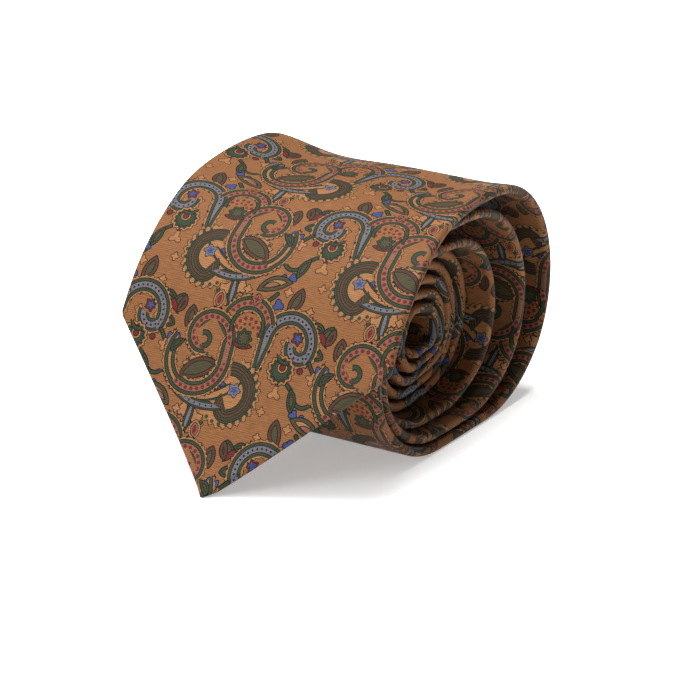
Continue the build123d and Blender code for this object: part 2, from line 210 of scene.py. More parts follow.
class Drape:
    """Places points of the flat tie in the roll: distance from the point, across, and depth."""

    STEP = 0.5
    BEND_SOFTNESS = 6  # in steps
    DRIFT_SOFTNESS = 24
    CREST_AT = 134.0  # mm from the point, where the cloth sags most over the roll
    CREST_REACH = 32.0
    CREST_SAG = 2.4
    # (height in mm, place and reach as shares of the half width) of the folds over the crest.
    CREST_FOLDS = ((-1.7, -0.45, 0.34), (2.2, -1.0, 0.25), (1.2, 1.0, 0.2))
    NARROWEST = 8.0
    # (height in mm, waves round the roll, turn per mm across, start) of each soft ripple.
    RIPPLES = ((0.45, 3, 0.05, 0.8), (0.3, 5, -0.08, 0.0))

    def __init__(self, cut: TieCut, shape: RollShape, hinge: Vector) -> None:
        """Winds the line and slides it to where the frame's hinge is.

        Args:
            cut: The tie laid flat.
            shape: The bends of the roll.
            hinge: Where the frame's joint is, in metres; it lies on the cloth's outer face.
        """
        self.cut = cut
        hanging = shape.hanging()
        self.hinge_at = sum(length for length, _ in hanging[:3])
        spacing, heading = self.STEP, math.radians(shape.tip_heading)
        stretches = hanging + shape.runs()
        lengths = np.cumsum([0.0] + [length for length, _ in stretches])
        self.length = float(lengths[-1])
        self.s = np.arange(0.0, self.length, spacing)
        which = np.clip(np.searchsorted(lengths, self.s, side="right") - 1, 0, len(stretches) - 1)
        bend = np.array([1 / radius if radius else 0.0 for _, radius in stretches])
        turned = np.cumsum([length * curve for (length, _), curve in zip(stretches, bend)])
        starts = heading - np.concatenate(([0.0], turned))
        angle = starts[which] - (self.s - lengths[which]) * bend[which]
        middle = angle - spacing / 2 * bend[which]
        y = np.concatenate(([0.0], np.cumsum(np.cos(middle) * spacing)[:-1]))
        z = np.concatenate(([0.0], np.cumsum(np.sin(middle) * spacing)[:-1]))
        y, z = self._smoothed(y, self.BEND_SOFTNESS), self._smoothed(z, self.BEND_SOFTNESS)
        at_hinge = np.interp(self.hinge_at, self.s, y)
        self.y = y + hinge.y / MM - at_hinge
        self.z = z - z[0]
        along_y, along_z = np.gradient(self.y, spacing), np.gradient(self.z, spacing)
        size = np.hypot(along_y, along_z)
        self.inward_y, self.inward_z = along_z / size, -along_y / size
        self.across = self._smoothed(cut.middle(self.s), self.DRIFT_SOFTNESS)
        self.centre = (float(self.y[self.s > 900].mean()), float(self.z[self.s > 900].mean()))

    @staticmethod
    def _smoothed(values: np.ndarray, reach: int) -> np.ndarray:
        """Softens the changes of bend along the line.

        Args:
            values: One value for each step along the line.
            reach: How far the softening reaches, in steps.

        Returns:
            The softened values, as many as were given.
        """
        offsets = np.arange(-3 * reach, 3 * reach + 1)
        weights = np.exp(-0.5 * (offsets / reach) ** 2)
        first, last = values[1] - values[0], values[-1] - values[-2]
        before = values[0] + first * np.arange(-3 * reach, 0)
        after = values[-1] + last * np.arange(1, 3 * reach + 1)
        padded = np.concatenate((before, values, after))
        return np.convolve(padded, weights / weights.sum(), mode="valid")

    def lift(self, s: np.ndarray, u: np.ndarray) -> np.ndarray:
        """How far the cloth stands off the line, outwards, where it is loose.

        Args:
            s: Distances from the point, in mm.
            u: Distances to the right of the tie's middle, in mm.

        Returns:
            Heights, in mm.
        """
        half = np.maximum(self.cut.half_width(s, self.length), self.NARROWEST)
        side = u / half

        def bump(height: float, place: float, reach: float) -> np.ndarray:
            """One soft fold across the tie."""
            return height * np.exp(-(((side - place) / reach) ** 2))

        crest = np.exp(-(((s - self.CREST_AT) / self.CREST_REACH) ** 2))
        return crest * (-self.CREST_SAG + sum(bump(*folds) for folds in self.CREST_FOLDS))

    def place(self, s: np.ndarray, u: np.ndarray, depth: np.ndarray) -> np.ndarray:
        """Points of the draped tie.

        Args:
            s: Distances from the point of the wide end, in mm.
            u: Distances to the right of the tie's middle, in mm.
            depth: Distances inside the outer face, in mm.

        Returns:
            Points in the frame, in metres.
        """
        s, u, depth = np.broadcast_arrays(*(np.asarray(v, float) for v in (s, u, depth)))
        y, z = np.interp(s, self.s, self.y), np.interp(s, self.s, self.z)
        inward_y = np.interp(s, self.s, self.inward_y)
        inward_z = np.interp(s, self.s, self.inward_z)
        x = np.interp(s, self.s, self.across) + u
        round_it = np.arctan2(z - self.centre[1], y - self.centre[0])
        ripple = sum(
            height * np.sin(waves * round_it + across * x + start)
            for height, waves, across, start in self.RIPPLES
        )
        # The ripples fade out at the underside, and over the last stretch towards the point.
        ripple = ripple * np.clip((z - 3) / 14, 0, 1) * np.clip((s - 60) / 60, 0, 1)
        inside = depth - self.lift(s, u) - ripple
        points = np.stack((x, y + inward_y * inside, z + inward_z * inside), axis=-1)
        points[..., 2] = np.maximum(points[..., 2], 0.0)
        return points * MM


# --- meshes --------------------------------------------------------------------------------------


def tube_faces(rows: int, columns: int) -> list[tuple[int, int, int, int]]:
    """Outward quads of a closed tube: its wall, and both ends.

    Args:
        rows: Number of rows along the tube.
        columns: Points in each row, which goes round the section once: out along one skin and
            back along the other.

    Returns:
        The quads.
    """
    faces = []
    for row in range(rows - 1):
        for column in range(columns):
            following = (column + 1) % columns
            low, high = row * columns, (row + 1) * columns
            faces.append((low + column, low + following, high + following, high + column))
    for first in (0, (rows - 1) * columns):
        for column in range(columns // 2 - 1):
            mirror = columns - 1 - column
            face = (first + column, first + column + 1, first + mirror - 1, first + mirror)
            faces.append(face[::-1] if first == 0 else face)
    return faces


def new_piece(
    name: str,
    points: np.ndarray,
    faces: Sequence[Sequence[int]],
    material: bpy.types.Material,
    cloth: np.ndarray | None = None,
) -> bpy.types.Object:
    """Makes a smooth mesh object at the origin.

    Args:
        name: The piece's name.
        points: Its points in metres.
        faces: Its faces.
        material: Its finish.
        cloth: For each point, where it lies on the flat cloth in metres, for the UV map.

    Returns:
        The new object, linked to the scene.
    """
    mesh = bpy.data.meshes.new(name)
    mesh.from_pydata(points.reshape(-1, 3).tolist(), [], [tuple(face) for face in faces])
    mesh.polygons.foreach_set("use_smooth", [True] * len(mesh.polygons))
    if cloth is not None:
        layer = mesh.uv_layers.new(name="cloth")
        corners = np.empty(len(mesh.loops), int)
        mesh.loops.foreach_get("vertex_index", corners)
        layer.data.foreach_set("uv", cloth.reshape(-1, 2)[corners].astype(np.float32).ravel())
    mesh.materials.append(material)
    mesh.validate()
    mesh.update()
    piece = bpy.data.objects.new(name, mesh)
    bpy.context.scene.collection.objects.link(piece)
    return piece


@dataclass(frozen=True)
class FoldedTube:
    """The silk's cross-section: a front, two soft folds, and a back that meets at the seam."""

    cut: TieCut
    front_points: int = 44
    fold_points: int = 9
    back_points: int = 18
    lip_points: int = 4

    def outline(self, half: float, opening: float) -> np.ndarray:
        """One closed section through the cloth's wall.

        Args:
            half: Half the tie's width here, in mm.
            opening: Half the gap in the back, in mm.

        Returns:
            Rows of (across, depth, distance round the cloth), the outer skin and then the inner.
        """
        thick = self.cut.thickness
        radius = min(thick / 2, half * 0.45)
        thin = radius * 2
        reach = max(half - radius, 0.02)
        gap = min(opening, reach * 0.96) + 0.12
        front = np.linspace(0, reach, self.front_points // 2)
        turn = np.linspace(-math.pi / 2, math.pi / 2, self.fold_points + 2)[1:-1]
        back = np.linspace(reach, gap + 0.3, self.back_points)
        puff = 0.22 * np.sin(np.linspace(0, math.pi, self.back_points)) * (half > 8)
        lip = np.linspace(0, 1, self.lip_points + 1)[1:]
        across = np.concatenate(
            (front, reach + radius * np.cos(turn), back, gap + 0.3 * np.cos(lip * math.pi / 2))
        )
        lips_depth = thin - 0.34 * np.sin(lip * math.pi / 2)
        depth = np.concatenate(
            (np.zeros_like(front), radius + radius * np.sin(turn), thin + puff, lips_depth)
        )
        along = np.concatenate(([0.0], np.cumsum(np.hypot(np.diff(across), np.diff(depth)))))
        right = np.stack((across, depth, along), axis=1)
        left = right * np.array((-1.0, 1.0, -1.0))
        outer = np.concatenate((left[::-1], right[1:]))
        step = np.gradient(outer[:, :2], axis=0)
        step /= np.maximum(np.hypot(step[:, 0], step[:, 1]), 1e-9)[:, None]
        wall = min(self.cut.wall, radius * 0.4)
        inner = outer.copy()
        inner[:, 0] -= step[:, 1] * wall
        inner[:, 1] += step[:, 0] * wall
        return np.concatenate((outer, inner[::-1]))


def silk_sheet(
    name: str, drape: Drape, start: float, end: float, material: bpy.types.Material, step: float
) -> bpy.types.Object:
    """The folded silk between two distances from the wide end's point.

    Args:
        name: The piece's name.
        drape: Places the cloth.
        start: Where it starts, in mm.
        end: Where it ends, in mm.
        material: Its finish.
        step: Distance between rows, in mm.

    Returns:
        A closed piece with the print's UV map, in metres of flat cloth.
    """
    tube = FoldedTube(drape.cut)
    count = max(int((end - start) / step), 2)
    even = np.linspace(start, end, count + 1)
    close = np.array([0.45, 0.8, 1.3, 2.0]) if start < 1 else np.array([])
    s = np.unique(np.concatenate((close, even[even > 2.2] if start < 1 else even)))
    if end > drape.length - 1:
        s = np.unique(np.concatenate((s[s < end - 2.2], end - np.array([2.0, 1.3, 0.8, 0.45]))))
    halves = drape.cut.half_width(s, drape.length)
    openings = drape.cut.opening(s)
    sections = np.stack([tube.outline(h, g) for h, g in zip(halves, openings)])
    rows, columns = sections.shape[:2]
    points = drape.place(s[:, None], sections[..., 0], sections[..., 1])
    cloth = np.stack((sections[..., 2], np.broadcast_to(s[:, None], (rows, columns))), axis=-1) * MM
    return new_piece(name, points, tube_faces(rows, columns), material, cloth)


def trimmed_area(widths: np.ndarray, steps: np.ndarray) -> float:
    """Area of a strip.

    Args:
        widths: Its width at each row.
        steps: The distances between rows.

    Returns:
        The area, in the square of the same unit.
    """
    return float(np.sum((widths[1:] + widths[:-1]) / 2 * steps))


def flat_strip(
    name: str,
    drape: Drape,
    rows: Sequence[tuple[float, float, float]],
    top: float,
    thick: float,
    material: bpy.types.Material,
    columns: int = 24,
) -> bpy.types.Object:
    """A flat piece of cloth that lies along the tie at a depth.

    Args:
        name: The piece's name.
        drape: Places the cloth.
        rows: (distance from the point, left edge, right edge) of each row, in mm.
        top: Depth of its outer side, in mm.
        thick: Its thickness, in mm.
        material: Its finish.
        columns: Points across it.

    Returns:
        A closed piece with rounded edges and a UV map in metres of flat cloth.
    """
    s = np.array([row[0] for row in rows])
    left, right = np.array([row[1] for row in rows]), np.array([row[2] for row in rows])
    share = 0.5 - 0.5 * np.cos(np.linspace(0, math.pi, columns))
    over = left[:, None] + (right - left)[:, None] * share[None, :]
    bulge = thick / 2 * np.sqrt(np.clip(1 - (2 * share - 1) ** 8, 0.04, 1))
    u = np.concatenate((over, over[:, ::-1]), axis=1)
    depth = np.concatenate((top + thick / 2 - bulge, (top + thick / 2 + bulge)[::-1]))
    points = drape.place(s[:, None], u, np.broadcast_to(depth, u.shape))
    count, width = u.shape
    cloth = np.stack((u, np.broadcast_to(s[:, None], u.shape)), axis=-1) * MM
    return new_piece(name, points, tube_faces(count, width), material, cloth)


# --- finishes ------------------------------------------------------------------------------------


class Dye(Enum):
    """The colours printed on the silk, as linear values."""

    GROUND = (0.152, 0.063, 0.023, 1.0)
    DARK = (0.006, 0.005, 0.004, 1.0)
    GREEN = (0.021, 0.030, 0.015, 1.0)
    OLIVE = (0.040, 0.034, 0.016, 1.0)
    BROWN = (0.050, 0.022, 0.013, 1.0)
    RED = (0.085, 0.011, 0.010, 1.0)
    PINK = (0.140, 0.058, 0.034, 1.0)
    PALE = (0.205, 0.092, 0.036, 1.0)
    LAVENDER = (0.088, 0.080, 0.090, 1.0)
    BLUE = (0.026, 0.040, 0.120, 1.0)

    @property
    def share(self) -> float:
        """The colour's place on the palette, from 0 to 1."""
        return (list(Dye).index(self) + 0.5) / len(Dye)


class Painter:
    """Builds the print out of maths nodes, one printed shape after another."""

    SCALE = 978.5  # from metres of cloth to the millimetres that the motif is drawn in
    REPEAT = 51.0  # from one motif to the next across the tie
    DROP = 38.0  # from one row to the next along it; every other row is mirrored
    MIRROR = -24.3
    SHIFT = 1.8
    START = 1.6  # how far the first row lies past the point

    def __init__(self, tree: bpy.types.NodeTree) -> None:
        """Starts with the bare ground colour.

        Args:
            tree: The material's node tree.
        """
        self.tree = tree
        uv = self.node("ShaderNodeUVMap")
        uv.uv_map = "cloth"
        scaled = self.vector("SCALE", uv.outputs[0])
        scaled.node.inputs["Scale"].default_value = self.SCALE
        self.cloth = scaled
        split = self.node("ShaderNodeSeparateXYZ")
        tree.links.new(scaled, split.inputs[0])
        self.across = split.outputs[0]
        self.along = self.maths("ADD", split.outputs[1], self.START)
        self.dye: bpy.types.NodeSocket | float = Dye.GROUND.share
        self.here: bpy.types.NodeSocket = scaled

    def node(self, kind: str) -> bpy.types.Node:
        """Adds a node."""
        return self.tree.nodes.new(kind)

    def _feed(self, socket: bpy.types.NodeSocket, value: object) -> None:
        """Links a socket to another, or sets its number.

        Args:
            socket: The input.
            value: An output to link, or a plain value.
        """
        if isinstance(value, bpy.types.NodeSocket):
            self.tree.links.new(value, socket)
        else:
            socket.default_value = value

    def maths(self, operation: str, *values: object) -> bpy.types.NodeSocket:
        """Adds a Math node and returns its result.

        Args:
            operation: The node's operation.
            *values: Its inputs, as outputs to link or plain numbers.

        Returns:
            The result.
        """
        node = self.node("ShaderNodeMath")
        node.operation = operation
        for socket, value in zip(node.inputs, values):
            self._feed(socket, value)
        return node.outputs[0]

    def vector(self, operation: str, *values: object) -> bpy.types.NodeSocket:
        """Adds a Vector Math node and returns its result.

        Args:
            operation: The node's operation.
            *values: Its inputs, as outputs to link or plain vectors.

        Returns:
            The result, a number where the operation gives one.
        """
        node = self.node("ShaderNodeVectorMath")
        node.operation = operation
        for socket, value in zip(node.inputs, values):
            self._feed(socket, value)
        scalar = operation in ("DOT_PRODUCT", "DISTANCE", "LENGTH")
        return node.outputs["Value" if scalar else "Vector"]

    def move_to(self, x: float, y: float) -> None:
        """Works in the nearest repeat of the print around a place on the motif.

        Args:
            x: The place across the tie, in mm.
            y: The place along it, in mm.
        """
        row_share = self.maths("MULTIPLY_ADD", self.along, 1 / self.DROP, 0.5 - y / self.DROP)
        row = self.maths("FLOOR", row_share)
        beyond = self.maths("SUBTRACT", row_share, row)
        local_y = self.maths("MULTIPLY_ADD", beyond, self.DROP, y - self.DROP / 2)
        odd = self.maths("PINGPONG", row, 1.0)
        side = self.maths("MULTIPLY_ADD", odd, -2.0, 1.0)
        shift = self.maths("MULTIPLY_ADD", odd, self.MIRROR, self.SHIFT)
        turned = self.maths("MULTIPLY_ADD", self.across, side, shift)
        local_x = self.maths("WRAP", turned, x + self.REPEAT / 2, x - self.REPEAT / 2)
        joined = self.node("ShaderNodeCombineXYZ")
        self.tree.links.new(local_x, joined.inputs[0])
        self.tree.links.new(local_y, joined.inputs[1])
        self.here = joined.outputs[0]

    def beyond_line(self, x: float, y: float, degrees: float) -> bpy.types.NodeSocket:
        """Distance past a line through a place, in the direction it faces.

        Args:
            x: The place across the motif, in mm.
            y: The place along it, in mm.
            degrees: The direction that the line faces.

        Returns:
            The distance, in mm.
        """
        turn = math.radians(degrees)
        facing = (math.cos(turn), math.sin(turn), 0.0)
        dot = self.vector("DOT_PRODUCT", self.here, facing)
        return self.maths("SUBTRACT", dot, x * facing[0] + y * facing[1])

    def scallops(self, pitch: float) -> bpy.types.NodeSocket:
        """A pattern of bumps, from -1 to 1, that edges are waved with.

        Args:
            pitch: From one bump to the next, in mm.

        Returns:
            The height of the bumps.
        """
        split = self.node("ShaderNodeSeparateXYZ")
        self.tree.links.new(self.here, split.inputs[0])
        turns = [self.maths("MULTIPLY", side, 2 * math.pi / pitch) for side in split.outputs[:2]]
        return self.maths("MULTIPLY", self.maths("SINE", turns[0]), self.maths("SINE", turns[1]))

    def smallest(self, *fields: bpy.types.NodeSocket) -> bpy.types.NodeSocket:
        """The least of several distances.

        Args:
            *fields: The distances.

        Returns:
            The least of them.
        """
        result = fields[0]
        for other in fields[1:]:
            result = self.maths("MINIMUM", result, other)
        return result

    def paint(self, mask: bpy.types.NodeSocket, dye: object) -> None:
        """Prints a dye, given by its place on the palette, where the mask is 1.

        Args:
            mask: 1 where the dye is printed, otherwise 0.
            dye: The dye's place on the palette.
        """
        mix = self.node("ShaderNodeMix")
        mix.data_type = "FLOAT"
        self.tree.links.new(mask, mix.inputs[0])
        self._feed(mix.inputs[2], self.dye)
        self._feed(mix.inputs[3], dye)
        self.dye = mix.outputs[0]

    def colour(self) -> bpy.types.NodeSocket:
        """Looks the dyes up on the palette.

        Returns:
            The printed colour.
        """
        ramp = self.node("ShaderNodeValToRGB")
        ramp.color_ramp.interpolation = "CONSTANT"
        ramp.color_ramp.elements.remove(ramp.color_ramp.elements[1])
        for number, dye in enumerate(Dye):
            stops = ramp.color_ramp.elements
            stop = stops.new(number / len(Dye)) if number else stops[0]
            stop.color = dye.value
        self.tree.links.new(self.dye, ramp.inputs[0])
        return ramp.outputs[0]

    def layers(self, distance: bpy.types.NodeSocket, rings: Sequence[tuple[float, Dye]]) -> None:
        """Prints nested outlines round a shape.

        Args:
            distance: Distance from the shape's heart, in mm.
            rings: (outer limit in mm, colour) pairs from the heart outwards.
        """
        low = min(0.0, rings[0][0] - 4.0)
        reach = rings[-1][0] - low
        share = self.maths("MULTIPLY_ADD", distance, 1 / reach, -low / reach)
        ramp = self.node("ShaderNodeValToRGB")
        ramp.color_ramp.interpolation = "CONSTANT"
        ramp.color_ramp.elements[0].color = (0, 0, 0, rings[0][1].share)
        ramp.color_ramp.elements.remove(ramp.color_ramp.elements[1])
        for (limit, _), (_, dye) in zip(rings, rings[1:]):
            ramp.color_ramp.elements.new((limit - low) / reach).color = (0, 0, 0, dye.share)
        self.tree.links.new(share, ramp.inputs[0])
        self.paint(self.maths("LESS_THAN", distance, rings[-1][0]), ramp.outputs[1])


@dataclass(frozen=True)
class Arc:
    """A piece of a ring: centre, radius, and the angles it runs between."""

    x: float
    y: float
    radius: float
    start: float = 0.0
    end: float = 360.0

    def distance(self, painter: Painter) -> bpy.types.NodeSocket:
        """Distance from the arc's line, made large outside its stretch.

        Args:
            painter: The painter of the cloth.

        Returns:
            The distance, in mm.
        """
        reach = painter.vector("DISTANCE", painter.here, (self.x, self.y, 0.0))
        off = painter.maths("ABSOLUTE", painter.maths("SUBTRACT", reach, self.radius))
        if self.end - self.start >= 360:
            return off
        past = self.radius * math.cos(math.radians(self.end - self.start) / 2)
        beyond = painter.beyond_line(self.x, self.y, (self.start + self.end) / 2)
        outside = painter.maths("LESS_THAN", beyond, past)
        return painter.maths("MULTIPLY_ADD", outside, 50.0, off)


@dataclass(frozen=True)
class Stroke:
    """A straight stretch of a scroll or stem."""

    x: float
    y: float
    to_x: float
    to_y: float
    taper: float = 0.0

    def distance(self, painter: Painter) -> bpy.types.NodeSocket:
        """Distance from the stretch.

        Args:
            painter: The painter of the cloth.

        Returns:
            The distance, in mm.
        """
        run = math.hypot(self.to_x - self.x, self.to_y - self.y)
        direction = ((self.to_x - self.x) / run, (self.to_y - self.y) / run, 0.0)
        offset = painter.vector("SUBTRACT", painter.here, (self.x, self.y, 0.0))
        along = painter.vector("DOT_PRODUCT", offset, direction)
        held = painter.maths("MINIMUM", painter.maths("MAXIMUM", along, 0.0), run)
        nearest = painter.vector("SCALE", direction)
        painter.tree.links.new(held, nearest.node.inputs["Scale"])
        off = painter.vector("DISTANCE", offset, nearest)
        if self.taper:
            off = painter.maths("MULTIPLY_ADD", held, self.taper, off)
        return off


@dataclass(frozen=True)
class Scroll:
    """A curling band made of arcs and strokes, with outlines, and dots along its arcs."""

    parts: tuple[Arc | Stroke, ...]
    rings: tuple[tuple[float, Dye], ...]
    dots: Dye | None = None
    dot_pitch: float = 1.9
    dot_radius: float = 0.62
    fringe: float = 0.0  # how far a scalloped edge reaches past the band

    def paint(self, painter: Painter) -> None:
        """Prints the scalloped edge, the band and its dots.

        Args:
            painter: The painter of the cloth.
        """
        distances = [part.distance(painter) for part in self.parts]
        nearest = painter.smallest(*distances)
        if self.fringe:
            waved = painter.maths("MULTIPLY_ADD", painter.scallops(2.1), -0.32, nearest)
            edge = self.rings[-1][0] + self.fringe
            painter.layers(waved, ((edge - 0.28, Dye.PALE), (edge, Dye.DARK)))
        painter.layers(nearest, self.rings)
        if self.dots is None:
            return
        for part, off in zip(self.parts, distances):
            if isinstance(part, Arc):
                offset = painter.vector("SUBTRACT", painter.here, (part.x, part.y, 0.0))
                split = painter.node("ShaderNodeSeparateXYZ")
                painter.tree.links.new(offset, split.inputs[0])
                angle = painter.maths("ARCTAN2", split.outputs[1], split.outputs[0])
                count = max(round(2 * math.pi * part.radius / self.dot_pitch), 3)
                wave = painter.maths("COSINE", painter.maths("MULTIPLY", angle, float(count)))
                edge = math.cos(2 * math.pi * self.dot_radius / self.dot_pitch)
                squared = painter.maths("MULTIPLY", off, off)
                level = painter.maths("MULTIPLY", squared, -(1 - edge) / self.dot_radius**2)
                dots = painter.maths("GREATER_THAN", painter.maths("ADD", wave, level), edge)
                painter.paint(dots, self.dots.share)


@dataclass(frozen=True)
class Blossom:
    """A round shape with petals or scallops, and rings of colour inside."""

    x: float
    y: float
    rings: tuple[tuple[float, Dye], ...]  # limits are measured from the rim; 0 is the rim
    radius: float
    petals: int = 0
    depth: float = 0.0
    turn: float = 0.0
    stretch: float = 1.0  # how much longer it is along the tie
    only: tuple[float, float] | None = None  # (direction in degrees, how far past the centre)

    def paint(self, painter: Painter) -> None:
        """Prints the shape.

        Args:
            painter: The painter of the cloth.
        """
        offset = painter.vector("SUBTRACT", painter.here, (self.x, self.y, 0.0))
        if self.stretch != 1.0:
            offset = painter.vector("MULTIPLY", offset, (1.0, 1 / self.stretch, 1.0))
        distance = painter.maths("SUBTRACT", painter.vector("LENGTH", offset), self.radius)
        if self.petals:
            split = painter.node("ShaderNodeSeparateXYZ")
            painter.tree.links.new(offset, split.inputs[0])
            angle = painter.maths("ARCTAN2", split.outputs[1], split.outputs[0])
            wave = painter.maths(
                "COSINE", painter.maths("MULTIPLY_ADD", angle, float(self.petals), self.turn)
            )
            distance = painter.maths("MULTIPLY_ADD", wave, -self.depth, distance)
        if self.only:
            beyond = painter.beyond_line(self.x, self.y, self.only[0])
            outside = painter.maths("LESS_THAN", beyond, self.only[1])
            distance = painter.maths("MULTIPLY_ADD", outside, 50.0, distance)
        painter.layers(distance, self.rings)


@dataclass(frozen=True)
class Leaf:
    """A pointed leaf between two places, bowed to one side, with a vein."""

    x: float
    y: float
    to_x: float
    to_y: float
    width: float
    rings: tuple[tuple[float, Dye], ...]
    bow: float = 0.0

    def paint(self, painter: Painter) -> None:
        """Prints the leaf as the overlap of two discs.

        Args:
            painter: The painter of the cloth.
        """
        half = math.hypot(self.to_x - self.x, self.to_y - self.y) / 2
        along = ((self.to_x - self.x) / (2 * half), (self.to_y - self.y) / (2 * half))
        middle = ((self.x + self.to_x) / 2, (self.y + self.to_y) / 2)
        sides = []
        for sign in (-1, 1):
            height = self.width / 2 + sign * self.bow
            radius = (half**2 + height**2) / (2 * height) if abs(height) > 0.05 else 400.0
            shift = sign * (height - radius)
            centre = (middle[0] - along[1] * shift, middle[1] + along[0] * shift, 0.0)
            reach = painter.vector("DISTANCE", painter.here, centre)
            side = painter.maths("SUBTRACT", reach, abs(radius))
            sides.append(painter.maths("MULTIPLY", side, -1.0) if height < 0 else side)
        painter.layers(painter.maths("MAXIMUM", *sides), self.rings)


def rings(*pairs: tuple[float, Dye]) -> tuple[tuple[float, Dye], ...]:
    """Nested outlines, from the heart outwards."""
    return pairs


RED_BAND = rings((0.85, Dye.PINK), (1.1, Dye.DARK), (1.85, Dye.GREEN), (2.1, Dye.DARK))
GREEN_BAND = rings((0.4, Dye.PALE), (0.65, Dye.DARK), (1.5, Dye.GREEN), (1.8, Dye.DARK))
COOL_BAND = rings((0.85, Dye.LAVENDER), (1.1, Dye.DARK), (1.8, Dye.GREEN), (2.05, Dye.DARK))
THIN_COOL_BAND = rings((0.6, Dye.LAVENDER), (0.8, Dye.DARK), (1.15, Dye.GREEN), (1.4, Dye.DARK))
BROWN_BAND = rings(
    (0.3, Dye.OLIVE), (0.5, Dye.DARK), (1.15, Dye.BROWN), (1.35, Dye.DARK), (1.85, Dye.GREEN),
    (2.1, Dye.DARK),
)
PALE_BAND = rings((0.8, Dye.PALE), (1.05, Dye.DARK), (1.35, Dye.GREEN), (1.55, Dye.DARK))
STEM = rings((0.4, Dye.GREEN), (0.75, Dye.DARK))
RED_STEM = rings((0.4, Dye.RED), (0.65, Dye.DARK))
BLUE_BUD = rings((-0.25, Dye.BLUE), (0.1, Dye.DARK))
RED_BUD = rings((-0.2, Dye.RED), (0.15, Dye.DARK))
PINK_BUD = rings((-0.8, Dye.RED), (-0.25, Dye.PINK), (0.05, Dye.DARK))
PALE_EDGE = rings((-0.2, Dye.PALE), (0.1, Dye.DARK))
GREEN_LEAF = rings((-1.0, Dye.OLIVE), (-0.75, Dye.DARK), (-0.25, Dye.GREEN), (0.1, Dye.DARK))
BROWN_LEAF = rings((-1.3, Dye.OLIVE), (-1.05, Dye.DARK), (-0.25, Dye.BROWN), (0.1, Dye.DARK))
OPEN_LEAF = rings((-1.35, Dye.PALE), (-1.1, Dye.DARK), (-0.25, Dye.OLIVE), (0.1, Dye.DARK))
RED_LEAF = rings((-0.25, Dye.RED), (0.05, Dye.DARK))

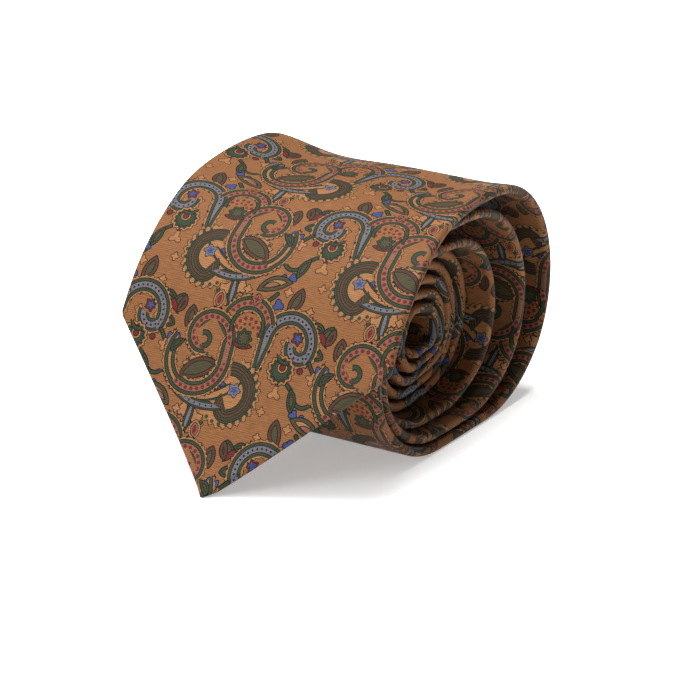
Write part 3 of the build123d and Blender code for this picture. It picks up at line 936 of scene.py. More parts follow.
# Each cluster is (a place on the motif, the shapes printed round it), from the lowest layer up.
PRINT: tuple[tuple[tuple[float, float], tuple[object, ...]], ...] = (
    ((-14, 24), (
        Blossom(-9.6, 22.4, PALE_EDGE, 3.3, 7, 0.5, 0.4),
        Blossom(-8.0, 20.9, PINK_BUD, 1.5, 4, 0.25),
        Scroll((Stroke(-11.7, 28.4, -11.3, 23.6), Arc(-9.0, 23.6, 2.3, 180, 350)), STEM),
        Blossom(-26.0, 30.0, BLUE_BUD, 1.45, 3, 0.3, 0.6),
        Blossom(-29.1, 31.0, BLUE_BUD, 1.35, 3, 0.3, 2.0),
        Scroll((Arc(-27.6, 36.6, 3.2, 215, 330),), STEM),
        Blossom(-29.6, 26.6, PALE_EDGE, 1.3, 4, 0.3),
    )),
    ((-16, 57), (
        Leaf(-20.4, 55.2, -21.2, 48.4, 4.0, BROWN_LEAF, 0.7),
        Leaf(-12.2, 61.2, -12.7, 55.4, 4.0, rings(
            (-1.3, Dye.RED), (-0.85, Dye.PINK), (-0.6, Dye.DARK), (-0.15, Dye.PALE), (0.1, Dye.DARK)
        )),
        Blossom(-6.8, 63.6, PALE_EDGE, 1.5, 3, 0.4, 1.2, 1.9),
        Leaf(-9.5, 68.2, -8.7, 54.8, 2.6, rings(
            (-0.75, Dye.LAVENDER), (-0.5, Dye.DARK), (-0.15, Dye.GREEN), (0.15, Dye.DARK)
        )),
        Leaf(-27.3, 52.6, -24.0, 57.8, 3.2, GREEN_LEAF),
        Leaf(-28.9, 56.6, -24.6, 51.2, 2.0, RED_LEAF),
    )),
    ((4, 60), (
        Blossom(-4.4, 63.0, PALE_EDGE, 1.2, 4, 0.25),
        Scroll((Stroke(3.3, 60.6, 5.6, 63.4),), STEM),
        Leaf(-1.6, 63.2, 9.2, 67.6, 4.6, OPEN_LEAF, 1.0),
        Leaf(0.2, 64.3, 5.4, 66.3, 1.7, rings((-0.2, Dye.PINK), (0.05, Dye.DARK)), 0.5),
        Blossom(7.0, 60.3, BLUE_BUD, 1.6, 3, 0.35, 0.5),
        Leaf(10.4, 58.6, 13.0, 66.8, 4.4, BROWN_LEAF, -0.8),
        Blossom(17.8, 60.4, PALE_EDGE, 1.1, 4, 0.25),
    )),
    ((14, 45), (
        Leaf(20.6, 49.9, 26.2, 48.2, 3.6, GREEN_LEAF),
        Leaf(27.5, 57.5, 25.6, 51.8, 2.8, BROWN_LEAF, 0.5),
        Leaf(4.6, 54.0, 9.4, 56.6, 2.6, GREEN_LEAF, 0.4),
        Leaf(19.0, 56.6, 24.2, 56.2, 3.2, GREEN_LEAF),
        Blossom(12.9, 50.2, PALE_EDGE, 1.4, 4, 0.35, 0.7),
        Blossom(16.4, 52.2, rings(
            (-0.8, Dye.BLUE), (-0.55, Dye.DARK), (-0.2, Dye.RED), (0.1, Dye.DARK)
        ), 1.8, 5, 0.35, 0.4),
        Scroll((
            Arc(13.8, 50.2, 7.5, -35, 180), Stroke(6.3, 50.2, 5.5, 41.8, 0.1),
            Arc(17.9, 49.7, 3.2, 170, 330),
        ), COOL_BAND, Dye.DARK, 1.5, 0.34, 0.75),
        Blossom(13.8, 42.4, rings(
            (-1.6, Dye.GREEN), (-1.3, Dye.DARK), (-1.0, Dye.GREEN), (-0.75, Dye.DARK),
            (-0.1, Dye.PALE), (0.2, Dye.DARK),
        ), 4.3, 13, 0.28),
        Blossom(14.1, 43.3, rings(
            (-0.8, Dye.RED), (-0.5, Dye.DARK), (-0.1, Dye.PALE), (0.15, Dye.DARK)
        ), 1.6),
        Scroll((Arc(14.2, 47.0, 2.4, 190, 300),), STEM),
        Scroll((Stroke(13.9, 38.0, 13.9, 36.6),), RED_STEM),
        Blossom(13.9, 35.6, PALE_EDGE, 1.7, 3, 0.65, 1.57),
        Scroll((Stroke(17.2, 38.8, 19.0, 37.4),), STEM),
        Leaf(18.7, 38.2, 20.6, 31.0, 3.0, GREEN_LEAF, 0.3),
        Blossom(19.9, 43.4, RED_BUD, 0.95),
        Scroll((Stroke(22.2, 46.0, 24.2, 43.6),), STEM),
        Blossom(24.4, 42.0, PALE_EDGE, 1.6, 4, 0.5, 0.8),
        Blossom(11.3, 29.7, PALE_EDGE, 1.2, 4, 0.3),
    )),
    ((0, 34), (
        Blossom(-1.0, 32.8, PALE_EDGE, 10.3, 27, 0.42, 0.0, 1.0, (-28, -3.0)),
        Scroll((Arc(-1.0, 32.8, 9.3, -128, 62),), rings((0.02, Dye.PALE)), Dye.GREEN, 2.42, 0.62),
        Scroll((Arc(-12.0, 45.6, 15.8, 268, 326),), PALE_BAND),
        Blossom(-3.7, 34.8, BLUE_BUD, 1.0, 3, 0.2),
        Blossom(0.7, 33.8, rings(
            (-0.9, Dye.BLUE), (-0.2, Dye.LAVENDER), (0.1, Dye.DARK)
        ), 1.9, 5, 0.35),
        Scroll((Arc(-1.0, 32.8, 6.9, -80, 100), Arc(0.3, 28.7, 2.75, 140, 285)), BROWN_BAND),
    )),
    ((-14, 41), (
        Blossom(-25.0, 42.3, rings((-0.2, Dye.LAVENDER), (0.1, Dye.DARK)), 1.3, 5, 0.2),
        Blossom(-25.2, 44.7, BLUE_BUD, 1.2, 3, 0.2),
        Blossom(-22.8, 44.9, BLUE_BUD, 1.2, 3, 0.2, 2.0),
        Scroll((Arc(-8.5, 45.2, 17.6, 218, 287),), THIN_COOL_BAND, Dye.DARK, 2.0, 0.3),
        Blossom(-12.6, 37.4, rings((-0.3, Dye.PALE), (0.0, Dye.DARK)), 6.0, 17, 0.4, 0.3, 0.8),
        Scroll((Arc(-12.6, 37.4, 4.9, 20, 190),), rings((0.02, Dye.PALE)), Dye.GREEN, 2.2, 0.6),
        Leaf(-19.0, 34.0, -6.5, 40.2, 6.0, BROWN_LEAF, 0.8),
        Scroll((Arc(-14.4, 40.6, 9.2, 152, 250),), GREEN_BAND, fringe=0.7),
        Leaf(-23.6, 40.4, -19.8, 44.6, 2.6, GREEN_LEAF, 0.9),
        Scroll((
            Arc(-12.2, 46.3, 6.8, 0, 90), Stroke(-5.4, 46.3, -5.2, 40.6),
            Arc(-14.4, 40.6, 9.2, 236, 360),
            Arc(-12.2, 47.6, 5.5, 90, 180), Arc(-14.2, 47.5, 3.5, 180, 275),
        ), RED_BAND, Dye.RED, 1.9, 0.62, 0.75),
        Scroll((Arc(-13.9, 46.1, 2.0, -95, 120),), rings((0.55, Dye.GREEN), (0.85, Dye.DARK))),
    )),
    ((-1, 53), (
        Leaf(-4.6, 46.9, 2.6, 46.9, 2.4, RED_LEAF),
        Blossom(-1.0, 48.9, rings(
            (-1.2, Dye.OLIVE), (-0.9, Dye.DARK), (-0.3, Dye.GREEN), (0, Dye.DARK)
        ), 2.7, 7, 0.35),
        Scroll((Arc(-0.7, 50.9, 2.3, 10, 170),), rings((0.02, Dye.PALE)), Dye.RED, 1.7, 0.5),
        Scroll((Arc(-0.7, 50.9, 3.9, -15, 195),), rings((0.02, Dye.PALE)), Dye.RED, 1.9, 0.6),
        Scroll((Arc(-0.9, 52.1, 5.2, -25, 205),), STEM),
        Scroll((Arc(-1.0, 52.3, 7.0, 18, 150),), RED_BAND, Dye.RED, 2.0, 0.6, 0.7),
        Blossom(-0.3, 60.6, PINK_BUD, 1.6, 4, 0.3, 0.8),
    )),
)


class Finish:
    """Starts a fabric material; each finish adds its own nodes."""

    name = "fabric"
    roughness = 0.7
    sheen = 0.2
    specular = 0.3

    def build(self) -> bpy.types.Material:
        """Makes the material.

        Returns:
            A material with a Principled shader, its colour and its weave.
        """
        material = bpy.data.materials.new(self.name)
        material.use_nodes = True
        tree = material.node_tree
        self.shader = tree.nodes["Principled BSDF"]
        self.shader.inputs["Roughness"].default_value = self.roughness
        self.shader.inputs["Sheen Weight"].default_value = self.sheen
        self.shader.inputs["Sheen Roughness"].default_value = 0.45
        self.shader.inputs["Specular IOR Level"].default_value = self.specular
        self.weave(tree)
        return material

    def weave(self, tree: bpy.types.NodeTree) -> None:
        """Adds the colour and the relief."""
        raise NotImplementedError

    def relief(self, tree: bpy.types.NodeTree, height: bpy.types.NodeSocket, depth: float) -> None:
        """Presses a height pattern into the surface.

        Args:
            tree: The material's nodes.
            height: The pattern, from 0 to 1.
            depth: Its depth in metres.
        """
        bump = tree.nodes.new("ShaderNodeBump")
        bump.inputs["Distance"].default_value = depth
        bump.inputs["Strength"].default_value = 1.0
        tree.links.new(height, bump.inputs["Height"])
        tree.links.new(bump.outputs[0], self.shader.inputs["Normal"])


class PrintedSilk(Finish):
    """Ribbed silk with the paisley print."""

    name = "printed_silk"
    roughness = 0.62
    sheen = 0.015
    specular = 0.08
    rib = 0.62  # from one rib of the weave to the next, in mm

    def weave(self, tree: bpy.types.NodeTree) -> None:
        """Prints the clusters, varies the tone at random, and paints shade between the weave's
        ridges, which it also raises.

        Args:
            tree: The material's node tree.
        """
        painter = Painter(tree)
        for place, shapes in PRINT:
            painter.move_to(*place)
            for shape in shapes:
                shape.paint(painter)
        noise = painter.node("ShaderNodeTexNoise")
        noise.inputs["Scale"].default_value = 0.9
        noise.inputs["Detail"].default_value = 2.0
        stretched = painter.vector("MULTIPLY", painter.cloth, (0.35, 3.0, 1.0))
        tree.links.new(stretched, noise.inputs["Vector"])
        turns = painter.maths("MULTIPLY", painter.along, 2 * math.pi / self.rib)
        wave = painter.maths("SINE", turns)
        uneven = painter.maths("MULTIPLY_ADD", noise.outputs[0], 0.9, -0.45)
        # Painted shade: the colour is darker in the weave's grooves, where the bump height is low;
        # the noise adds tone that differs at random.
        rib_shade_and_tone = painter.maths("MULTIPLY_ADD", wave, 0.14, painter.maths("ADD", uneven, 0.93))
        shade = painter.vector("SCALE", painter.colour())
        tree.links.new(rib_shade_and_tone, shade.node.inputs["Scale"])
        tree.links.new(shade, self.shader.inputs["Base Color"])
        self.relief(tree, painter.maths("MULTIPLY_ADD", wave, 0.5, 0.5), 0.000035)


class PlainCloth(Finish):
    """A plain woven cloth, with threads both ways."""

    def __init__(
        self, name: str, colour: Colour, thread: float, roughness: float, sheen: float
    ) -> None:
        """Names the cloth and sets its look.

        Args:
            name: The material's name.
            colour: Its linear colour.
            thread: From one thread to the next, in metres.
            roughness: How matt it is.
            sheen: How much fuzz it has.
        """
        self.name, self.colour, self.thread = name, colour, thread
        self.roughness, self.sheen = roughness, sheen

    def weave(self, tree: bpy.types.NodeTree) -> None:
        """Crosses two sets of threads and varies the colour a little.

        Args:
            tree: The material's node tree.
        """
        uv = tree.nodes.new("ShaderNodeUVMap")
        uv.uv_map = "cloth"
        heights = []
        for direction in ("X", "Y"):
            wave = tree.nodes.new("ShaderNodeTexWave")
            wave.bands_direction = direction
            wave.inputs["Scale"].default_value = 0.05 * 2 * math.pi / self.thread
            wave.inputs["Distortion"].default_value = 0.4
            tree.links.new(uv.outputs[0], wave.inputs["Vector"])
            heights.append(wave.outputs["Fac"])
        crossed = tree.nodes.new("ShaderNodeMath")
        crossed.operation = "MAXIMUM"
        tree.links.new(heights[0], crossed.inputs[0])
        tree.links.new(heights[1], crossed.inputs[1])
        noise = tree.nodes.new("ShaderNodeTexNoise")
        noise.inputs["Scale"].default_value = 260.0
        tree.links.new(uv.outputs[0], noise.inputs["Vector"])
        ramp = tree.nodes.new("ShaderNodeValToRGB")
        dark = tuple(channel * 0.72 for channel in self.colour[:3]) + (1.0,)
        ramp.color_ramp.elements[0].color = dark
        ramp.color_ramp.elements[1].color = self.colour
        ramp.color_ramp.elements[0].position = 0.25
        ramp.color_ramp.elements[1].position = 0.7
        tree.links.new(noise.outputs["Fac"], ramp.inputs[0])
        tree.links.new(ramp.outputs[0], self.shader.inputs["Base Color"])
        self.relief(tree, crossed.outputs[0], self.thread * 0.12)


class ThreadFinish(Finish):
    """Twisted sewing silk."""

    name = "sewing_silk"
    roughness = 0.45
    colour: Colour = (0.16, 0.075, 0.03, 1.0)

    def weave(self, tree: bpy.types.NodeTree) -> None:
        """Winds a fine twist round the thread, with painted shade in the twist's grooves.

        Args:
            tree: The material's node tree.
        """
        coordinate = tree.nodes.new("ShaderNodeTexCoord")
        wave = tree.nodes.new("ShaderNodeTexWave")
        wave.bands_direction = "DIAGONAL"
        wave.inputs["Scale"].default_value = 1400.0
        tree.links.new(coordinate.outputs["Object"], wave.inputs["Vector"])
        # Painted shade: the colour is darker where the twist's relief is low.
        ramp = tree.nodes.new("ShaderNodeValToRGB")
        ramp.color_ramp.elements[0].color = tuple(c * 0.6 for c in self.colour[:3]) + (1.0,)
        ramp.color_ramp.elements[1].color = self.colour
        tree.links.new(wave.outputs["Fac"], ramp.inputs[0])
        tree.links.new(ramp.outputs[0], self.shader.inputs["Base Color"])
        self.relief(tree, wave.outputs["Fac"], 0.00004)


def woven(
    name: str, colour: Colour, thread: float, roughness: float, sheen: float
) -> bpy.types.Material:
    """A field that makes one plain cloth when the finishes are made.

    Args:
        name: The material's name.
        colour: Its linear colour.
        thread: From one thread to the next, in metres.
        roughness: How matt it is.
        sheen: How much fuzz it has.

    Returns:
        The dataclass field, which holds the material in each set of finishes.
    """
    return field(
        default_factory=lambda: PlainCloth(name, colour, thread, roughness, sheen).build()
    )


@dataclass
class Finishes:
    """Every finish of the tie, made once."""

    silk: bpy.types.Material = field(default_factory=lambda: PrintedSilk().build())
    lining: bpy.types.Material = woven("tipping_lining", (0.17, 0.08, 0.03, 1), 0.0003, 0.42, 0.1)
    wool: bpy.types.Material = woven("wool_interlining", (0.6, 0.54, 0.43, 1), 0.0009, 0.95, 0.5)
    label: bpy.types.Material = woven("label_damask", (0.03, 0.026, 0.028, 1), 0.00025, 0.5, 0.15)
    care: bpy.types.Material = woven("care_label_satin", (0.62, 0.6, 0.55, 1), 0.00025, 0.4, 0.1)
    thread: bpy.types.Material = field(default_factory=lambda: ThreadFinish().build())


# --- the tie's pieces ----------------------------------------------------------------------------


class Stitching:
    """Rows of stitches, made by one Geometry Nodes tree and then turned into plain meshes."""

    def __init__(self, material: bpy.types.Material) -> None:
        """Builds the tree.

        Args:
            material: The thread's finish.
        """
        self.material = material
        tree = bpy.data.node_groups.new("stitch_row", "GeometryNodeTree")
        self.tree = tree
        tree.interface.new_socket("Row", in_out="INPUT", socket_type="NodeSocketGeometry")
        tree.interface.new_socket("Row", in_out="OUTPUT", socket_type="NodeSocketGeometry")
        self.spacing = self._number("Spacing", 0.003)
        self.length = self._number("Stitch length", 0.002)
        self.radius = self._number("Thread radius", 0.00018)
        self.slant = self._number("Slant", 0.5)
        given, made = tree.nodes.new("NodeGroupInput"), tree.nodes.new("NodeGroupOutput")
        link = tree.links.new
        even = tree.nodes.new("GeometryNodeResampleCurve")
        even.mode = "LENGTH"
        link(given.outputs["Row"], even.inputs["Curve"])
        link(given.outputs["Spacing"], even.inputs["Length"])
        stitch = tree.nodes.new("GeometryNodeMeshUVSphere")
        stitch.inputs["Segments"].default_value = 8
        stitch.inputs["Rings"].default_value = 6
        link(given.outputs["Thread radius"], stitch.inputs["Radius"])
        share = tree.nodes.new("ShaderNodeMath")
        share.operation = "DIVIDE"
        link(given.outputs["Stitch length"], share.inputs[0])
        link(given.outputs["Thread radius"], share.inputs[1])
        half = tree.nodes.new("ShaderNodeMath")
        half.operation = "MULTIPLY"
        half.inputs[1].default_value = 0.5
        link(share.outputs[0], half.inputs[0])
        size = tree.nodes.new("ShaderNodeCombineXYZ")
        size.inputs[0].default_value = 1.0
        size.inputs[1].default_value = 1.0
        link(half.outputs[0], size.inputs[2])
        tangent = tree.nodes.new("GeometryNodeInputTangent")
        aim = tree.nodes.new("FunctionNodeAlignEulerToVector")
        aim.axis = "Z"
        link(tangent.outputs[0], aim.inputs["Vector"])
        tilt = tree.nodes.new("ShaderNodeCombineXYZ")
        link(given.outputs["Slant"], tilt.inputs[0])
        turn = tree.nodes.new("FunctionNodeRotateEuler")
        turn.space = "LOCAL"
        link(aim.outputs[0], turn.inputs["Rotation"])
        link(tilt.outputs[0], turn.inputs["Rotate By"])
        along = tree.nodes.new("GeometryNodeInstanceOnPoints")
        link(even.outputs[0], along.inputs["Points"])
        link(stitch.outputs["Mesh"], along.inputs["Instance"])
        link(turn.outputs[0], along.inputs["Rotation"])
        link(size.outputs[0], along.inputs["Scale"])
        real = tree.nodes.new("GeometryNodeRealizeInstances")
        link(along.outputs[0], real.inputs[0])
        dress = tree.nodes.new("GeometryNodeSetMaterial")
        dress.inputs["Material"].default_value = material
        link(real.outputs[0], dress.inputs["Geometry"])
        link(dress.outputs[0], made.inputs[0])

    def _number(self, name: str, value: float) -> str:
        """Adds a named number to the tree's inputs.

        Args:
            name: The input's name.
            value: Its usual value.

        Returns:
            The input's identifier.
        """
        socket = self.tree.interface.new_socket(name, in_out="INPUT", socket_type="NodeSocketFloat")
        socket.default_value = value
        return socket.identifier

    def sew(
        self, name: str, rows: Sequence[np.ndarray],
        spacing: float, length: float, radius: float, slant: float,
    ) -> bpy.types.Object:
        """Sews rows of stitches.

        Args:
            name: The piece's name.
            rows: Points of each row, in metres.
            spacing: From one stitch to the next, in metres.
            length: Length of a stitch, in metres.
            radius: The thread's radius, in metres.
            slant: How far each stitch is turned off its row, in radians.

        Returns:
            One plain mesh with every stitch.
        """
        curve = bpy.data.curves.new(f"{name}_rows", "CURVE")
        curve.dimensions = "3D"
        for row in rows:
            spline = curve.splines.new("POLY")
            spline.points.add(len(row) - 1)
            spline.points.foreach_set("co", np.c_[row, np.ones(len(row))].ravel())
        holder = bpy.data.objects.new(f"{name}_rows", curve)
        bpy.context.scene.collection.objects.link(holder)
        modifier = holder.modifiers.new("stitches", "NODES")
        modifier.node_group = self.tree
        for socket, value in (
            (self.spacing, spacing), (self.length, length),
            (self.radius, radius), (self.slant, slant),
        ):
            modifier[socket] = value
        bpy.context.view_layer.update()
        sewn = holder.evaluated_get(bpy.context.evaluated_depsgraph_get())
        mesh = bpy.data.meshes.new_from_object(sewn)
        bpy.data.objects.remove(holder)
        mesh.name = name
        mesh.polygons.foreach_set("use_smooth", [True] * len(mesh.polygons))
        piece = bpy.data.objects.new(name, mesh)
        bpy.context.scene.collection.objects.link(piece)
        return piece


@dataclass
class Tie:
    """Puts the whole tie together over the frame."""

    drape: Drape
    finishes: Finishes
    sewing: Stitching

    ROLL = "roll"
    FREE = "wide_end"
    FRONT_END = 262.0
    BLADE_END = 632.0
    NECK_END = 984.0
    HINGE_REACH = (0.008, -0.018)
    # In mm, under the silk's front.
    WOOL_GAP = 0.35
    WOOL_THICKNESS = 1.35
    WOOL_INSET = 1.7
    TIPPING_DEPTH = 2.12
    TIPPING_THICKNESS = 0.22
    TIPPING_MIDDLE = 2.23
    TIPPING_INSET = 1.9
    BAR_PITCH = 0.5
    # (distance from the point, across) along the loop of spare thread.
    SPARE_LOOP = ((76, -0.5), (70, -1.7), (64, -1.2), (62, 0.2), (65, 1.5), (70, 1.6), (76, 0.5))

    def add(self, piece: bpy.types.Object, body: str, slot: str, *nodes: str) -> bpy.types.Object:
        """Rides a piece on a body and lets it stand for CAD nodes.

        Args:
            piece: The finished piece.
            body: The body it moves with.
            slot: The record's material slot; not used.
            nodes: The CAD nodes it stands for.

        Returns:
            The same piece.
        """
        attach(piece, body)
        if nodes:
            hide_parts(*nodes)
        LOG.info("%s: %d faces on %s", piece.name, len(piece.data.polygons), body)
        return piece

    def bend(self, piece: bpy.types.Object, slot: str, *nodes: str) -> bpy.types.Object:
        """Bakes a piece's placement into its mesh, on no body, and lets it stand for CAD nodes.

        Args:
            piece: The piece.
            slot: Its material slot; not used.
            *nodes: The CAD nodes that it stands for.

        Returns:
            The piece.
        """
        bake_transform(piece)
        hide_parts(*nodes)
        LOG.info("%s: %d faces across the bend", piece.name, len(piece.data.polygons))
        return piece

    def flat_area(self, start: float, end: float) -> tuple[tuple[float, float], float]:
        """The flat cut of one stretch of folded silk.

        Args:
            start: Where it starts, in mm from the point.
            end: Where it ends.

        Returns:
            ((width, length), area) in metres and square metres, with both layers of the fold.
        """
        s = np.linspace(start, end, 400)
        halves = self.drape.cut.half_width(s, self.drape.length)
        gaps = np.minimum(self.drape.cut.opening(s), halves)
        round_it = 2 * (2 * halves + self.drape.cut.thickness - gaps)
        area = trimmed_area(round_it, np.diff(s))
        return (float(round_it.max()) * MM, (end - start) * MM), area * MM * MM

    def silk(self) -> None:
        """Makes the printed silk: the wide end, the wound blade, the neck and the tail."""
        sheets = (
            ("silk_wide_end", 0.0, self.FRONT_END, 1.6, ("point_shell", "blade_shell")),
            ("silk_blade", self.FRONT_END, self.BLADE_END, 2.2, ("blade_shell",)),
            ("silk_neck", self.BLADE_END, self.NECK_END, 2.2, ("neck_shell", "blade_neck_seam")),
            ("silk_tail", self.NECK_END, self.drape.length, 2.0, ("tail_shell", "neck_tail_seam")),
        )
        for name, start, end, step, nodes in sheets:
            piece = silk_sheet(name, self.drape, start, end, self.finishes.silk, step)
            if start == 0:
                self.bend(piece, "silk", *nodes)
            else:
                self.add(piece, self.ROLL, "silk", *nodes)
            flat, area = self.flat_area(start, end)

    def strip_rows(
        self, start: float, end: float, inset: float, step: float
    ) -> list[tuple[float, float, float]]:
        """Rows for a strip that follows the tie's width.

        Args:
            start: Where it starts, in mm from the point.
            end: Where it ends.
            inset: How far it stays inside the tie's edges, in mm.
            step: About how far apart the rows are, in mm.

        Returns:
            (distance from the point, left edge, right edge) of each row, in mm.
        """
        s = np.linspace(start, end, max(int((end - start) / step), 3))
        halves = np.maximum(self.drape.cut.half_width(s, self.drape.length) - inset, 0.15)
        return [(float(a), -float(h), float(h)) for a, h in zip(s, halves)]

    def declare_strip(
        self, rows: Sequence[tuple[float, float, float]], depth: float
    ) -> None:
        """Works out a strip's middle line at its depth, and does nothing more with it.

        Args:
            rows: Its rows, from strip_rows.
            depth: How deep its middle lies, in mm.
        """
        s = np.array([place for place, _, _ in rows])
        line = self.drape.place(s, np.zeros_like(s), np.full_like(s, depth))

    def linings(self) -> None:
        """Makes the wool inside the silk and the tippings at both ends."""
        cut, length = self.drape.cut, self.drape.length
        depth, thick = cut.wall + self.WOOL_GAP, self.WOOL_THICKNESS
        wool = (
            ("wool_wide_end", 3.0, self.FRONT_END, ("point_interlining", "blade_interlining")),
            ("wool_blade", self.FRONT_END, 800.0, ("blade_interlining",)),
            ("wool_tail", 800.5, length - 3.0, ("tail_interlining",)),
        )
        for name, start, end, nodes in wool:
            rows = self.strip_rows(start, end, self.WOOL_INSET, 3.0)
            piece = flat_strip(name, self.drape, rows, depth, thick, self.finishes.wool, 16)
            if start < 10:
                self.bend(piece, "interlining", *nodes)
            else:
                self.add(piece, self.ROLL, "interlining", *nodes)
            self.declare_strip(rows, depth + thick / 2)
        tippings = (
            ("front_tipping_lining", 6.0, cut.tack_at + 5, self.FREE, "front_tipping"),
            ("tail_tipping_lining", length - 24, length - 4, self.ROLL, "tail_tipping"),
        )
        for name, start, end, body, node in tippings:
            rows = self.strip_rows(start, end, self.TIPPING_INSET, 1.6)
            piece = flat_strip(
                name, self.drape, rows, self.TIPPING_DEPTH, self.TIPPING_THICKNESS,
                self.finishes.lining, 30,
            )
            self.add(piece, body, "lining", node)
            self.declare_strip(rows, self.TIPPING_MIDDLE)

    def on_back(self) -> None:
        """Makes the keeper loop and the labels on the back of the blade."""
        top = self.drape.cut.thickness + 0.28
        bands = (
            ("keeper_band", 196.0, 208.0, 25.0, 0.7, self.finishes.silk, "silk", "keeper_loop"),
            ("brand_label_blank", 150.0, 174.0, 27.0, 0.35, self.finishes.label, "label",
             "brand_label"),
            ("care_label_blank", 176.0, 192.0, 9.0, 0.25, self.finishes.care, "label",
             "care_label"),
        )
        for name, start, end, half, thick, finish, slot, node in bands:
            rows = [(float(s), -half, half) for s in np.linspace(start, end, 12)]
            piece = flat_strip(name, self.drape, rows, top, thick, finish, 40)
            self.add(piece, self.ROLL, slot, node)

    def row(self, points: Sequence[tuple[float, float]], depth: float) -> np.ndarray:
        """A row for stitches through (distance from the point, across) places at one depth.

        Args:
            points: The places, in mm.
            depth: How deep the row lies, in mm.

        Returns:
            Points of the row, in metres.
        """
        places = np.array(points, float)
        lengths = np.concatenate(([0.0], np.cumsum(np.hypot(*np.diff(places, axis=0).T))))
        even = np.linspace(0, lengths[-1], max(int(lengths[-1]), 2))
        s, u = np.interp(even, lengths, places[:, 0]), np.interp(even, lengths, places[:, 1])
        return self.drape.place(s, u, np.full_like(s, depth))

    def bars(self, at: float, half: float, count: int) -> list[np.ndarray]:
        """Rows across the tie for a bar tack.

        Args:
            at: Where the first row lies, in mm from the point.
            half: Half the rows' length, in mm.
            count: How many rows.

        Returns:
            The rows.
        """
        depth = self.drape.cut.thickness + 0.35
        places = [at + number * self.BAR_PITCH for number in range(count)]
        return [self.row([(place, -half), (place, half)], depth) for place in places]

    def edges(self, start: float, end: float, across: float, depth: float) -> list[np.ndarray]:
        """Rows down both edges of a label or band.

        Args:
            start: Where they start, in mm from the point.
            end: Where they end.
            across: How far they lie from the tie's middle, in mm.
            depth: How deep they lie, in mm.

        Returns:
            The two rows.
        """
        sides = (-1, 1)
        return [self.row([(s, side * across) for s in (start, end)], depth) for side in sides]

    def stitches(self) -> None:
        """Sews the hems, tacks, labels and the long slip stitch."""
        cut, back, length = self.drape.cut, self.drape.cut.thickness, self.drape.length
        half = cut.blade_width / 2
        diamond = [(s, cut.opening(np.array([s]))[0] + 0.9) for s in (12.5, half, cut.tack_at - 3)]
        hems = [self.row([(s, side * u) for s, u in diamond], back + 0.1) for side in (-1, 1)]
        slip = [self.row([(s, 0.0) for s in (104, length - 50)], back + 0.02)]
        sewn = (
            ("hem_stitches", hems,
             0.0032, 0.0017, 0.00016, 0.6, self.FREE, "front_hem_stitches"),
            ("bar_tack", self.bars(cut.tack_at + 6, 4, 4),
             0.0011, 0.0016, 0.00026, 0.25, self.FREE, "front_bar_tack"),
            ("brand_label_sewing", self.edges(151.5, 172.5, 25.6, back + 0.72),
             0.0022, 0.0015, 0.00016, 0.0, self.ROLL, "brand_label_stitches"),
            ("keeper_sewing", self.edges(197.2, 206.8, 23.6, back + 1.05),
             0.0018, 0.0013, 0.00018, 0.0, self.ROLL, "keeper_loop_stitches"),
            ("slip_stitches", slip,
             0.006, 0.0032, 0.00014, 0.12, self.ROLL, "slip_stitch"),
            ("tail_bar_tack_sewing", self.bars(length - 42, 3, 3),
             0.0011, 0.0016, 0.00022, 0.25, self.ROLL, "tail_bar_tack"),
            ("spare_thread_loop", [self.row(self.SPARE_LOOP, back + 0.1)],
             0.0005, 0.0016, 0.0002, 0.0, self.FREE, "thread_reserve"),
        )
        for name, rows, spacing, stitch, radius, slant, body, node in sewn:
            piece = self.sewing.sew(name, rows, spacing, stitch, radius, slant)
            self.add(piece, body, "thread", node)

    def build(self) -> None:
        """Makes every piece, from the inside out."""
        self.linings()
        self.silk()
        self.on_back()
        self.stitches()


# --- the studio ----------------------------------------------------------------------------------


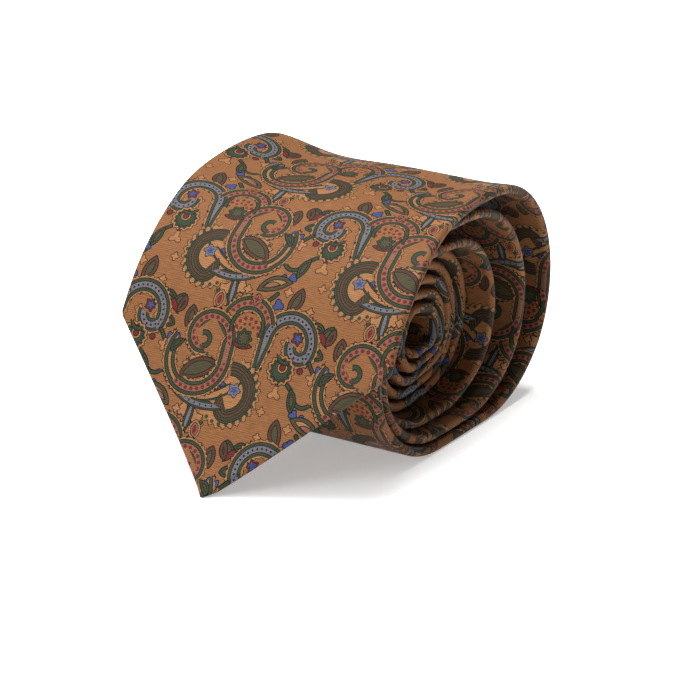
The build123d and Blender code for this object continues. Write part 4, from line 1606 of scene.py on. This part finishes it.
@dataclass(frozen=True)
class Studio:
    """The camera, the pale table and the soft lights."""

    azimuth: float = 32.78
    elevation: float = 21.36
    distance: float = 1.0883
    focal_share: float = 3620.3 / 700
    target: tuple[float, float, float] = (0.00356, 0.0, 0.02604)

    def camera(self) -> bpy.types.Object:
        """Adds the camera, looking at the front and the right end of the roll.

        Returns:
            The camera.
        """
        turn, rise = math.radians(self.azimuth), math.radians(self.elevation)
        level = math.cos(rise)
        back = Vector((math.sin(turn) * level, -math.cos(turn) * level, math.sin(rise)))
        data = bpy.data.cameras.new("camera")
        data.sensor_width = 36.0
        data.lens = self.focal_share * data.sensor_width
        data.clip_start = 0.01
        camera = bpy.data.objects.new("camera", data)
        camera.location = Vector(self.target) + back * self.distance
        camera.rotation_mode = "QUATERNION"
        camera.rotation_quaternion = (-back).to_track_quat("-Z", "Y")
        bpy.context.scene.collection.objects.link(camera)
        bpy.context.scene.camera = camera
        return camera

    def table(self) -> bpy.types.Object:
        """Adds the plain white table under the tie.

        Returns:
            The table.
        """
        size = 3.0
        mesh = bpy.data.meshes.new("table")
        corners = [(-size, -size, 0), (size, -size, 0), (size, size, 0), (-size, size, 0)]
        mesh.from_pydata(corners, [], [(0, 1, 2, 3)])
        material = bpy.data.materials.new("white_table")
        material.use_nodes = True
        shader = material.node_tree.nodes["Principled BSDF"]
        shader.inputs["Base Color"].default_value = (0.9, 0.9, 0.9, 1)
        shader.inputs["Roughness"].default_value = 0.7
        shader.inputs["Emission Color"].default_value = (1, 1, 1, 1)
        shader.inputs["Emission Strength"].default_value = 0.36
        mesh.materials.append(material)
        table = bpy.data.objects.new("table", mesh)
        bpy.context.scene.collection.objects.link(table)
        return table

    def softbox(self, name: str, place: Sequence[float], size: float, power: float) -> None:
        """Adds one square softbox that faces the tie.

        Args:
            name: The light's name.
            place: Where it stands, in metres.
            size: Its side, in metres.
            power: Its power in watts.
        """
        data = bpy.data.lights.new(name, "AREA")
        data.size = size
        data.energy = power
        light = bpy.data.objects.new(name, data)
        light.location = place
        light.rotation_mode = "QUATERNION"
        light.rotation_quaternion = (Vector((0, 0, 0.04)) - Vector(place)).to_track_quat("-Z", "Y")
        bpy.context.scene.collection.objects.link(light)

    def light(self) -> None:
        """Adds the softboxes and the pale surroundings."""
        self.softbox("key_softbox", (-0.4, 0.0, 2.2), 1.6, 120)
        self.softbox("front_softbox", (-0.9, -2.5, 1.6), 1.6, 55)
        world = bpy.data.worlds.new("pale_room")
        world.use_nodes = True
        background = world.node_tree.nodes["Background"]
        background.inputs["Color"].default_value = (1, 1, 1, 1)
        background.inputs["Strength"].default_value = 0.24
        bpy.context.scene.world = world
        bpy.context.scene.view_settings.view_transform = "Standard"


def frame_hinge() -> Vector:
    """Where the frame's joint is, in metres."""
    return Vector(frame["joints"][0]["pos_m"])


def main() -> None:
    """Builds the tie, the studio and the render settings."""
    logging.basicConfig(level=logging.INFO, format="%(name)s %(message)s")
    drape = Drape(TieCut(), RollShape(), frame_hinge())
    finishes = Finishes()
    Tie(drape, finishes, Stitching(finishes.thread)).build()
    studio = Studio()
    studio.table()
    studio.camera()
    studio.light()


if __name__ == "__main__":
    main()
